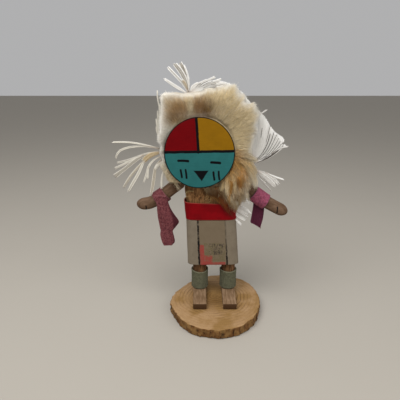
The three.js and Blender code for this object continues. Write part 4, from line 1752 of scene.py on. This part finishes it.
@dataclass(frozen=True)
class LooseHair:
    """Locks of hair that straggle over what lies behind them."""

    name: str
    seed: int
    locks: tuple[Lock, ...]

    def build(self) -> None:
        """Make every lock."""
        rng = np.random.default_rng(self.seed)
        share = np.linspace(0, 1, 8)
        under = [self._solid(name) for name in ("fur_skin", "torso")]
        made = []
        for lock in self.locks:
            flat = smooth_line(lock.way, share)
            count = lock.hairs
            wide, narrow = lock.spread
            spread = 0.5 * (wide + (narrow - wide) * share[None, :, None])
            offsets = rng.normal(0, 1, (count, 1, 2)) * spread
            offsets = offsets + rng.normal(0, 0.5, (count, 1, 2)) * np.sin(share * 5 + 1)[None, :, None]
            stop = rng.uniform(0.7, 1.05, (count, 1, 1))
            around = flat[0] + (flat[None] - flat[0]) * stop + offsets
            lift = rng.uniform(*lock.lift, (count, 1)) * (1 - 0.6 * share[None] ** 3)
            depth = np.array([[self._front(under, x, z, lock.y) for x, z in hair] for hair in around])
            depth = depth - lift
            depth[:, 1:-1] = np.minimum(depth[:, 1:-1], 0.5 * (depth[:, :-2] + depth[:, 2:]))
            paths = np.stack([around[..., 0], depth, around[..., 1]], axis=2)
            taper = np.append(np.ones(6), (0.7, 0.1))
            widths = lock.half_width * rng.uniform(0.7, 1.2, (count, 1)) * taper
            root, tip = tones(lock.tone, lock.tip)
            mix = share[None, :, None]
            colours = (root * (1 - mix) + tip * mix) * rng.uniform(0.7, 1.15, (count, 1, 1))
            facing = np.array([0.0, -1.0, 0.0]) + rng.normal(0, 0.2, (count, 3))
            made.append(Strands(paths, widths, widths * 0.8, facing, colours))
        mesh = Strands.together(made).mesh(self.name)
        add_piece(self.name, mesh, Coat(self.name).material(), "fur")

    def _solid(self, name: str) -> BVHTree:
        """Read a finished piece's surface.

        Args:
            name: The piece's name.

        Returns:
            Its surface, for finding what lies under a hair.
        """
        bm = bmesh.new()
        bm.from_mesh(bpy.data.objects[name].data)
        tree = BVHTree.FromBMesh(bm)
        bm.free()
        return tree

    def _front(self, under: Sequence[BVHTree], x: float, z: float, y: float) -> float:
        """Find how deep a hair lies.

        Args:
            under: The surfaces that it may lie on.
            x: Its place across.
            z: Its height.
            y: The depth in mm that it keeps where they are further back.

        Returns:
            The depth in mm.
        """
        for tree in under:
            spot, *_ = tree.ray_cast(Vector((x, -80.0, z)) * MM, Vector((0, 1, 0)))
            if spot is not None:
                y = min(y, spot.y / MM)
        return y


CHEST_LOCKS: tuple[Lock, ...] = (
    Lock(((-11.6, 120), (-7.7, 115.4), (-0.7, 110.7), (3.8, 105.8)),
         7, (0.5, 1.4), 3.6, "#b0915c", "#d2b881", 0.1),
    Lock(((-7, 121), (-3.5, 115), (2.3, 110.8), (8.8, 103.5)),
         46, (1.8, 4.2), 2.6, "#6b3f1a", "#b9813c", 0.12),
    Lock(((-9, 121), (-6.5, 116), (-2, 112), (1.5, 107.5)),
         26, (1.8, 3.6), 2.6, "#5d3717", "#a9783a", 0.1),
    Lock(((0, 121), (3, 113.5), (7.5, 106), (13.5, 97)),
         44, (1.8, 4.6), 1.6, "#80501f", "#86411c", 0.12),
    Lock(((3, 108.5), (7.5, 102), (12.5, 96.5), (17, 90.8)),
         22, (1.6, 4.4), 3.6, "#78301a", "#6e2416", 0.11),
    Lock(((7, 112), (10.5, 104), (14, 98), (19.5, 93.5)),
         18, (1.4, 4), 2.8, "#80401e", "#742a18", 0.11),
    Lock(((-10.2, 120), (-7, 114), (-7.6, 110.2), (-11.6, 107.2)),
         4, (0.3, 0.8), 4.8, "#a5884f", "#cdb27a", 0.1),
    Lock(((-5.4, 112.6), (-4.6, 109), (-6.4, 106.6), (-10, 105.8)),
         3, (0.2, 0.6), 4.6, "#a5884f", "#cdb27a", 0.1),
    Lock(((-20, 116.8), (-26, 116.2), (-28.4, 114), (-27.4, 112.2)),
         4, (0.3, 0.8), 5.4, "#b39a68", "#cbb37f", 0.1),
    Lock(((-22, 112), (-26, 111.2), (-28.6, 110.6), (-30, 108.6)),
         3, (0.2, 0.5), 5.2, "#a07a52", "#c8b285", 0.1),
    Lock(((-38, 126.5), (-36, 122.5), (-34.6, 119.6), (-33, 117)),
         24, (0.9, 2.6), 6.6, "#d9c39c", "#ecdfc4"),
)

RUFF_TUFTS: tuple[Lock, ...] = (
    Lock(((15.6, 151), (22, 150.4), (29, 148), (35.5, 144)),
         90, (3.4, 2), 2, "#c09a62", "#efe4c8", 0.14, (1.6, 3.4)),
    Lock(((15.8, 148), (21, 145.6), (27, 141), (33, 135)),
         130, (3.6, 1.6), 2, "#99703c", "#e3ca9a", 0.14, (1.8, 3.6)),
    Lock(((15.6, 144.6), (19, 140), (23, 134), (26.8, 127)),
         150, (3.8, 1.2), 2, "#a17a40", "#cba76c", 0.14, (1.8, 3.8)),
    Lock(((14.2, 140.6), (17, 135.4), (19.6, 129.4), (20.8, 121.5)),
         130, (3.8, 1), 2, "#a07238", "#e2c896", 0.14, (1.8, 3.8)),
    Lock(((11.8, 136.2), (14.4, 131.4), (16, 125), (16.2, 116.4), (21.2, 108)),
         150, (3.6, 0.9), 2, "#b98c4c", "#ecdcb6", 0.14, (1.8, 3.8)),
    Lock(((9.2, 132.6), (10, 127), (8.8, 119), (12, 112), (14.8, 106.2)),
         140, (3.4, 0.8), 2, "#c9a468", "#f0e4c6", 0.14, (1.6, 3.4)),
    Lock(((20.4, 138), (24, 131), (25.6, 123), (24.8, 116), (30.1, 108.4)),
         150, (3.8, 0.9), 2, "#a97a3c", "#f0e5cc", 0.14, (1.8, 3.8)),
    Lock(((24.6, 142), (30, 135), (33, 127.6), (33.8, 119.4)),
         130, (3.8, 1.2), 2, "#cdae78", "#f3ead4", 0.14, (1.6, 3.4)),
    Lock(((18, 131), (20, 124), (20.4, 116.6), (17.6, 107.6)),
         70, (2.8, 0.8), 2, "#a9783c", "#9a6a3c", 0.13, (2.2, 4)),
    Lock(((22.4, 133), (23, 126), (21.8, 119), (23.6, 112)),
         80, (2.8, 0.8), 2, "#b08145", "#c99e5e", 0.13, (2.4, 4)),
    Lock(((5.4, 130), (5.4, 124.6), (4.2, 118.4), (1.2, 111.6)),
         60, (2.4, 0.8), 2, "#c2a06c", "#e2d1a8", 0.13, (1.2, 2.6)),
    Lock(((12, 128), (12.6, 120), (10.6, 113), (11.6, 104.6)),
         70, (2.6, 0.8), 2, "#a3763a", "#b88a4c", 0.13, (2, 3.6)),
)


# ---- feathers


@dataclass(frozen=True)
class Strip:
    """A trimmed strip of barbs: the x and z that its middle runs through, its width halfway and
    at its end, the y of its end, how grey its inner barbs are (own tone and painted shade),
    how tan it is, how uneven its ends are, and how much further its left side reaches."""

    way: tuple[Pair, ...]
    width: Pair
    y: float
    grey: float = 0.2
    warm: float = 0.0
    ragged: float = 1.0
    slant: float = 0.0


def bowed(root: Sequence[float], tip: Sequence[float], arch: float) -> tuple[Pair, ...]:
    """Bow a way to the left of its run.

    Args:
        root: The x and z in mm where it starts.
        tip: The x and z where it ends.
        arch: How far it bows.

    Returns:
        Its start, middle and end.
    """
    across, up = tip[0] - root[0], tip[1] - root[1]
    run = hypot(across, up)
    middle = ((root[0] + tip[0]) / 2 - arch * up / run, (root[1] + tip[1]) / 2 + arch * across / run)
    return (tuple(root), middle, tuple(tip))


@dataclass(frozen=True)
class Barbs:
    """How strips of feather barbs are laid and coloured."""

    barb: float = 0.62  # width of one barb; real ones are finer and cling together
    white: str = "#f3f1ec"
    # the grey of inner barbs, which is partly their own tone and partly painted shade
    grey: str = "#9d9587"
    tan: str = "#c2a878"
    quill: str = "#a8876e"
    # the colour of the painted shade between parted barbs
    gap_shade: str = "#453a30"

    def strip(
        self, strip: Strip, root_y: float, rng: Random, barb: float | None = None
    ) -> Strands:
        """Lay the barbs of one strip side by side.

        Args:
            strip: The strip.
            root_y: The depth of its root.
            rng: The source of its unevenness.
            barb: The width of a barb, where it differs.

        Returns:
            The barbs.
        """
        barb = barb or self.barb
        points = 10
        share = np.append(np.linspace(0, 0.985, points - 1), 1.0)
        flat = smooth_line(strip.way, share)
        line = np.stack([flat[:, 0], root_y + (strip.y - root_y) * share, flat[:, 1]], axis=1)
        along = unit(np.gradient(line, axis=0))
        sideways = np.stack([-along[:, 2], np.zeros(points), along[:, 0]], axis=1)
        count = max(2, round(max(strip.width) / barb))
        lane = np.linspace(-1, 1, count) * (1 - 1 / count)
        full, end = strip.width
        spread = 0.5 * np.interp(share, (0.0, 0.45, 0.8, 1.0), (0.3 * full, full, full, end))
        path = line[None] + sideways[None] * (lane[:, None] * spread[None])[..., None]
        ends = rng.uniform(-1.3, 0.4, (count, 1)) * strip.ragged + strip.slant * lane[:, None]
        path = path + along[None] * (ends * share[None] ** 3)[..., None]
        path[:, :, 1] += rng.normal(0, 0.12, (count, 1)) * share + 0.1 * spread[None] * lane[:, None] ** 2
        widths = np.maximum(spread[None] / count, 0.25 * barb) * rng.uniform(1.02, 1.25, (count, 1))
        widths = widths * np.where(share > 0.99, 0.5, 1.0)
        facing = np.array([0.0, -1.0, 0.0]) + rng.normal(0, 0.08 + 0.14 * strip.ragged, (count, 3))
        white, grey, tan, quill = tones(self.white, self.grey, self.tan, self.quill)
        # inner barbs greyed: partly their own tone, partly painted shade
        inner = (np.abs(lane) < 0.7)[:, None] * strip.grey
        grey_and_shade = np.clip(inner * rng.uniform(0.3, 1.6, (count, 1)) + 0.06 * rng.random((count, 1)), 0, 0.9)
        own = white * (1 - grey_and_shade) + grey * grey_and_shade
        warm = (strip.warm * np.clip((0.97 - share) / 0.06, 0, 1))[None, :, None]
        base = np.clip(1 - share * 4.5, 0, 1)[None, :, None] * 0.5
        colours = (own[:, None] * (1 - warm) + tan * warm) * (1 - base) + quill * base
        colours = colours * rng.uniform(0.93, 1.04, (count, 1, 1))
        return Strands(path, widths, np.full_like(widths, 0.15), facing, colours)

    def bunch(self, strips: Sequence[Strip], root_y: float, seed: int) -> Strands:
        """Lay several strips that leave one root.

        Args:
            strips: The strips.
            root_y: The depth of their root.
            seed: The seed of their unevenness.

        Returns:
            The barbs.
        """
        rng = np.random.default_rng(seed)
        return Strands.together([self.strip(strip, root_y, rng) for strip in strips])

    def gap(self, strip: Strip, root_y: float, rng: Random, barb: float) -> Strands:
        """Lay a narrow dark strip of painted shade where the barbs part."""
        lit = self.strip(strip, root_y, rng, barb)
        return replace(lit, colours=np.zeros_like(lit.colours) + tones(self.gap_shade))


@dataclass(frozen=True)
class Feathers:
    """White feathers tucked into the ruff: bunches, side vanes and a wide trimmed fan."""

    barbs: Barbs = Barbs()
    dusty: Barbs = Barbs(white="#e6e1d4")
    top: tuple[Strip, ...] = (
        Strip(((-24.6, 198.8), (-30.5, 202.6), (-36.5, 206.2), (-45.5, 212.2)), (2.6, 1.8), 16),
        Strip(((-24.4, 199), (-28.6, 207), (-33.6, 212.6), (-41.9, 221.2)), (2.6, 2.4), 18, 0.35),
        Strip(((-24.2, 199), (-26.6, 209), (-30.6, 217), (-36.4, 224.3)), (4.2, 3.6), 20, 0.95),
        Strip(((-24, 199), (-25, 208), (-27.4, 217), (-31.4, 224.6)), (3.6, 3.2), 20.6, 1),
        Strip(((-23.8, 199), (-23.8, 207), (-25.4, 216), (-28.3, 223.2)), (1.6, 1.2), 20, 0),
        Strip(((-23.8, 200), (-24.2, 206), (-23.9, 213.4)), (1.2, 0.8), 17, 0.1),
        Strip(((-25.4, 203), (-27, 207.4), (-30, 211.6)), (2.2, 1.4), 16.6, 0.6, 0.55),
        Strip(((-24.6, 197.8), (-34, 199.9), (-44, 198.7), (-49.8, 195.7)), (1.4, 1), 16, 0.1),
        Strip(((-42.2, 198.9), (-43.2, 200), (-43.9, 202)), (1, 0.6), 16, 0.1),
        Strip(((-37.6, 199.4), (-38.2, 200.4), (-38.7, 202)), (1, 0.6), 16, 0.1),
        Strip(((-26, 197.4), (-33, 197.4), (-41, 196.2), (-47.4, 192)), (2.4, 2), 14.6, 0.25),
    )
    vane_root: Pair = (-23.4, 200.2)
    vane_tips: tuple[Pair, ...] = (
        (-15.0, 208.6), (-8.0, 210.8), (-1.0, 213.4), (3.6, 211.2),
        (6.0, 208.2), (4.6, 205.2), (0.5, 202.8),
    )
    left: tuple[Strip, ...] = (
        Strip(((-48.6, 153.6), (-62.5, 156.8), (-76, 159), (-91, 159.2)), (1.5, 1.3), 10, 0.2),
        Strip(((-48.6, 152.8), (-60.4, 155.3), (-72, 155.2),
               (-80.6, 153.4), (-86.4, 150), (-89.4, 144)), (1.9, 1.4), 12, 0.3),
        Strip(((-48.6, 151.4), (-60.6, 149.2), (-70, 145.6), (-79.5, 142.2), (-88.9, 140)),
              (2, 1.6), 14, 0.2),
        Strip(((-64, 148), (-71, 144.6), (-80, 140.2), (-90.4, 135.2)), (2, 2.2), 12.6, 0.2),
        Strip(((-48.8, 150.6), (-62.9, 147.6), (-71, 143.4), (-81.2, 135.3), (-91.2, 128)),
              (3, 4.2), 11.4, 0.8),
        Strip(((-48.6, 150.2), (-58, 147.6), (-65.4, 141.6)), (4.2, 4.4), 9.6, 0.25, 0.75),
        Strip(((-62, 144.6), (-66.8, 139.7), (-72.4, 133.3), (-78.1, 126.4), (-84.2, 116.8)),
              (2.4, 2), 12.6, 0.45, 0.12),
        Strip(((-62.4, 143.8), (-65, 140), (-69.2, 131.4), (-74.8, 122.2), (-79.8, 113.9)),
              (2.6, 2), 9.8, 0.15),
        Strip(((-48, 147.6), (-56.1, 142.6), (-60.3, 136.8), (-61.8, 131.4), (-65.6, 122)),
              (2.2, 1.4), 11.6, 0.05),
        Strip(((-59.8, 137.4), (-60.8, 131.6), (-61.3, 124.8)), (1.5, 1), 10.4, 0.05),
        Strip(((-46.8, 145), (-53.2, 138.4), (-55.2, 130.2), (-56.6, 121.4), (-59, 110.6)),
              (2.8, 1.8), 8.4, 0.7, 0.15),
        Strip(((-46.4, 143), (-52, 138.6), (-54.2, 134.4)), (3, 1.8), 9.4, 0.1),
        Strip(((-43.8, 139.2), (-46.8, 133), (-48.6, 126), (-49.2, 116.6)), (1.9, 1.5), 9, 0),
    )
    side: tuple[Strip, ...] = (
        Strip(((-46.6, 152.6), (-50.2, 162), (-51, 171), (-52, 179.8)), (1.6, 0.8), 9.4, 0.1),
        Strip(((-46.2, 152.6), (-48.9, 163), (-49.6, 175), (-50.6, 186.2)), (2, 1), 9.2, 0.3),
        Strip(((-45.8, 152.6), (-47.6, 164), (-48, 177), (-48.8, 190.4)), (2.2, 1.4), 9, 0.45),
        Strip(((-45, 153), (-45.9, 163), (-46, 173), (-46.8, 185)), (2.4, 1.8), 9.8, 0.6),
        Strip(((-47, 176), (-48.3, 187), (-49.9, 195.6), (-50.1, 203)), (1.3, 0.9), 9.5, 0.05),
        Strip(((-46, 178), (-46.2, 186), (-45.4, 194.6)), (1.6, 0.9), 10.2, 0.2),
        Strip(((-49.6, 164), (-51.6, 168), (-52.2, 173.6)), (0.9, 0.6), 9, 0.1),
    )
    right_low: tuple[Strip, ...] = (
        Strip(((35.4, 133.6), (45, 129.9), (51.4, 125.4), (56.8, 119.8)), (3.6, 2.4), 13.6, 0.2),
        Strip(((35.4, 133.2), (43.6, 127.6), (49, 122.8), (54.2, 117.8)), (3.6, 2.4), 13, 0.3),
        Strip(((44, 131.6), (51, 128.2), (56, 126.2), (61.6, 124.4)), (1.5, 1.2), 13.2, 0.1),
        Strip(((35.8, 132.2), (39.6, 125.6), (44.6, 120), (51.4, 113)), (1.3, 0.9), 15, 0.35),
        Strip(((36, 132.4), (40.8, 125.8), (46.6, 121)), (2.2, 1.6), 14.4, 0.5),
    )
    bottom: tuple[Strip, ...] = (
        Strip(((16.8, 109.6), (24.2, 110.2), (31.2, 106.4)), (1.9, 1.2), 10, 0.1),
        Strip(((15.8, 105), (24.4, 105.9), (31.6, 104.1)), (2.6, 1.8), 9, 0.15),
        Strip(((15.8, 103.4), (24.6, 99.6), (32.4, 94)), (2.4, 0.8), 8, 0.1),
        Strip(((16, 101), (22.6, 97.8), (30.4, 92.9)), (3.4, 2.8), 8.8, 0.15),
        Strip(((16, 98.4), (22, 93.4), (28.8, 89)), (4.2, 3.2), 9.4, 0.5),
        Strip(((16.2, 95), (21.4, 90.4), (27.2, 87.4)), (2.6, 1.8), 8.6, 0),
        Strip(((16.8, 88.8), (20.2, 86), (23.7, 82.7)), (2, 1.5), 7.8, 0),
    )
    fan_root: Spot = (33.6, 20.0, 137.4)
    fan_angles: Pair = (29.0, 131.0)
    fan_blades: int = 40
    fan_reach: tuple[float, ...] = (33.6, 35.4, 34.6, 37.2, 44.4, 52.6, 71.5, 83.0, 86)
    # dark strips of painted shade where the fan's blades part
    fan_shade_gaps: tuple[tuple[float, float, float, float], ...] = (
        (0.035, 0.1, 0.96, 0.75), (0.085, 0.25, 0.95, 0.3), (0.135, 0.3, 0.9, 0.25),
        (0.18, 0.2, 0.93, 0.3), (0.235, 0.4, 0.97, 0.25), (0.29, 0.15, 0.96, 0.42),
        (0.345, 0.15, 0.86, 0.5), (0.38, 0.6, 1.0, 0.25), (0.5, 0.55, 0.75, 0.2),
    )  # the share of the spread, where the gap starts and stops along the reach, and its width

    def _reach(self, share: float) -> float:
        """Return how far the fan reaches at a share of its spread, with a notch near its lower end."""
        reach = float(smooth_line([(reach,) for reach in self.fan_reach], share)[0, 0])
        return reach - 3.0 * exp(-(((share - 0.055) / 0.02) ** 2))

    def _bow(self, share: float) -> float:
        """Return how far the fan's barbs bow at a share of its spread."""
        return float(np.interp(share, (0.0, 0.12, 0.3, 0.5, 0.8), (-2.0, -3.6, -3.6, -1.8, -0.2)))

    def _spot(self, share: float) -> Pair:
        """Find a place on the fan's edge.

        Args:
            share: The share of its spread.

        Returns:
            The place's x and z in mm.
        """
        low, high = (radians(angle) for angle in self.fan_angles)
        angle, reach = low + (high - low) * share, self._reach(share)
        return (self.fan_root[0] + reach * cos(angle), self.fan_root[2] + reach * sin(angle))

    def _depth(self, share: float) -> float:
        """Return the depth in mm of the fan's edge at a share of its spread."""
        return self.fan_root[1] + 2 + 1.4 * sin(5 * share)

    def _fan(self) -> Strands:
        """Make the fan: broad blades of barbs from one root, as long as its trimmed edge allows.

        Returns:
            Its barbs.
        """
        rng = np.random.default_rng(5)
        x, y, z = self.fan_root
        spread = radians(self.fan_angles[1] - self.fan_angles[0])
        cuts = np.linspace(0, 1, self.fan_blades + 1)
        made = []
        for start, end in zip(cuts, cuts[1:]):
            share = (start + end) / 2
            way = bowed((x, z), self._spot(share), self._bow(share))
            width = self._reach(share) * spread * (end - start)
            slant = 0.5 * (self._reach(end) - self._reach(start))
            under_fur = 0.85 * float(np.clip((share - 0.66) / 0.1, 0, 1))
            widths = (0.72 * width, 1.1 * width)
            trimmed = Strip(way, widths, self._depth(share), 0.05, under_fur, 0.3, slant)
            made.append(self.barbs.strip(trimmed, y, rng, 0.7))
        # painted shade between the fan's blades
        for share, start, stop, width in self.fan_shade_gaps:
            way = bowed((x, z), self._spot(share), self._bow(share))
            way = smooth_line(way, np.linspace(start, stop, 4))
            near, far = (y + part * (self._depth(share) - y) - 0.5 for part in (start, stop))
            made.append(self.barbs.gap(Strip(way, (width, 0.8 * width), far, ragged=0.1), near, rng, 0.3))
        spur = Strip(((38.0, 182.0), (40.6, 183.6), (43.8, 185.8)), (1.2, 0.9), y + 1)
        fork = Strip(((50.0, 147.0), (58.0, 152.0), (65.0, 153.2)), (1.5, 0.9), y + 1.6)
        made += [self.barbs.strip(extra, y + 1, rng) for extra in (spur, fork)]
        return Strands.together(made)

    def _top_vane(self) -> Strands:
        """Make the vane that arches from the top bunch to the right in front of the fan.

        Returns:
            Its barbs.
        """
        rng = np.random.default_rng(15)
        made = []
        last = len(self.vane_tips) - 1
        for index, tip in enumerate(self.vane_tips):
            way = bowed(self.vane_root, tip, 2.0 - 1.3 * index / last)
            made.append(self.barbs.strip(Strip(way, (1.9, 2.3), 16.5 - 0.2 * index, 0.2), 17.0, rng))
        # dark strips of painted shade between the vane's barbs
        for start, end in zip(self.vane_tips, self.vane_tips[1:]):
            between = ((start[0] + end[0]) / 2, (start[1] + end[1]) / 2)
            near, far = (
                tuple(low + part * (high - low) for low, high in zip(self.vane_root, between))
                for part in (0.4, 0.8)
            )
            line = Strip(bowed(near, far, 0.6), (0.25, 0.3), 15.4, ragged=0.1)
            made.append(self.barbs.gap(line, 15.8, rng, 0.2))
        # a dark strip of painted shade under the vane
        under = Strip(((-20.0, 197.9), (-11.4, 199.4), (-3.0, 202.0), (4.8, 203.6)), (0.9, 0.7), 15.2)
        return Strands.together([*made, self.barbs.gap(under, 16.0, rng, 0.45)])

    def build(self) -> None:
        """Make every feather."""
        finish = Coat("trimmed_feather", roughness=0.6, fleck=0.06).material()
        pieces = {
            "top_feathers": Strands.together([self.barbs.bunch(self.top, 18.0, 11), self._top_vane()]),
            "left_feathers": self.dusty.bunch(self.left, 10.5, 12),
            "right_lower_feathers": self.barbs.bunch(self.right_low, 13.0, 13),
            "bottom_feathers": self.barbs.bunch(self.bottom, 9.5, 14),
            "right_upper_feathers": self._fan(),
            "left_side_feather": self.dusty.bunch(self.side, 9.0, 9),
        }
        for node, strands in pieces.items():
            mesh = strands.mesh(node + "_barbs", sides=4)
            add_piece(node + "_barbs", mesh, finish, "feather", node)


# ---- studio


@dataclass(frozen=True)
class Studio:
    """A plain pale floor, soft light and the camera."""

    camera: Spot = (-14.6, -334.7, 221.1)
    pitch: float = 18.4
    lens: float = 36.0
    floor: str = "#a8a298"
    floor_shade: str = "#9a948a"
    sky: str = "#e9e9ea"
    sky_strength: float = 0.53
    lit_height: float = 110.0  # the height that both lights look at

    def build(self) -> None:
        """Set up the studio."""
        self._floor()
        self._light("key_light", (-220, -300, 760), 620, 6.5)
        self._light("fill_light", (520, -420, 420), 620, 2.0)
        world = bpy.data.worlds.new("studio")
        world.use_nodes = True
        sky = world.node_tree.nodes["Background"]
        sky.inputs["Color"].default_value = srgb(self.sky)
        sky.inputs["Strength"].default_value = self.sky_strength
        scene = bpy.context.scene
        scene.world = world
        scene.view_settings.view_transform = "Standard"
        data = bpy.data.cameras.new("camera")
        data.lens = self.lens
        data.sensor_width = 36.0
        data.clip_start = 0.01
        camera = put("camera", data)
        camera.location = Vector(self.camera) * MM
        camera.rotation_euler = (radians(90 - self.pitch), 0.0, 0.0)
        scene.camera = camera

    def _floor(self) -> None:
        """Lay the floor."""
        bm = bmesh.new()
        bmesh.ops.create_grid(bm, x_segments=1, y_segments=1, size=3000)
        floor = put("floor", to_mesh(bm, "floor"))
        shader = Shader("pale_floor")
        add = shader.add
        soft = add(NOISE, shader.here(), None, 1 / 60, 3)
        colour = add("Mix", add("Math.MULTIPLY", soft, 0.12), self.floor, self.floor_shade)
        floor.data.materials.append(shader.finish(Base_Color=colour, Roughness=0.8))

    def _light(self, name: str, place: Spot, size: float, power: float) -> None:
        """Hang a soft square light that looks at the doll.

        Args:
            name: Its name.
            place: Where it hangs, in mm.
            size: The length of its side, in mm.
            power: Its power in watts.
        """
        data = bpy.data.lights.new(name, "AREA")
        data.size = size * MM
        data.energy = power
        light = put(name, data)
        spot = Vector(place) * MM
        light.location = spot
        aim = Vector((0, 0, self.lit_height)) * MM - spot
        light.rotation_euler = aim.to_track_quat("-Z", "Y").to_euler()


# ---- the doll


def main(frame: dict) -> None:
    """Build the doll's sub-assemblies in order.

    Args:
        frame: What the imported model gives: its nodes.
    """
    logging.basicConfig(level=logging.INFO, format="%(name)s: %(message)s")
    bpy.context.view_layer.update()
    nodes = frame["nodes"]
    Studio().build()
    LogSlice().build()
    LegsAndFeet().build()
    Body().build(nodes)
    Arms().build(nodes)
    Mask().build()
    FurRuff().build(nodes)
    LooseHair("chest_hair", 21, CHEST_LOCKS).build()
    LooseHair("fur_tufts", 22, RUFF_TUFTS).build()
    Feathers().build()
    bpy.context.view_layer.update()
    log.info("the doll is built")


if __name__ == "__main__":
    main(frame)
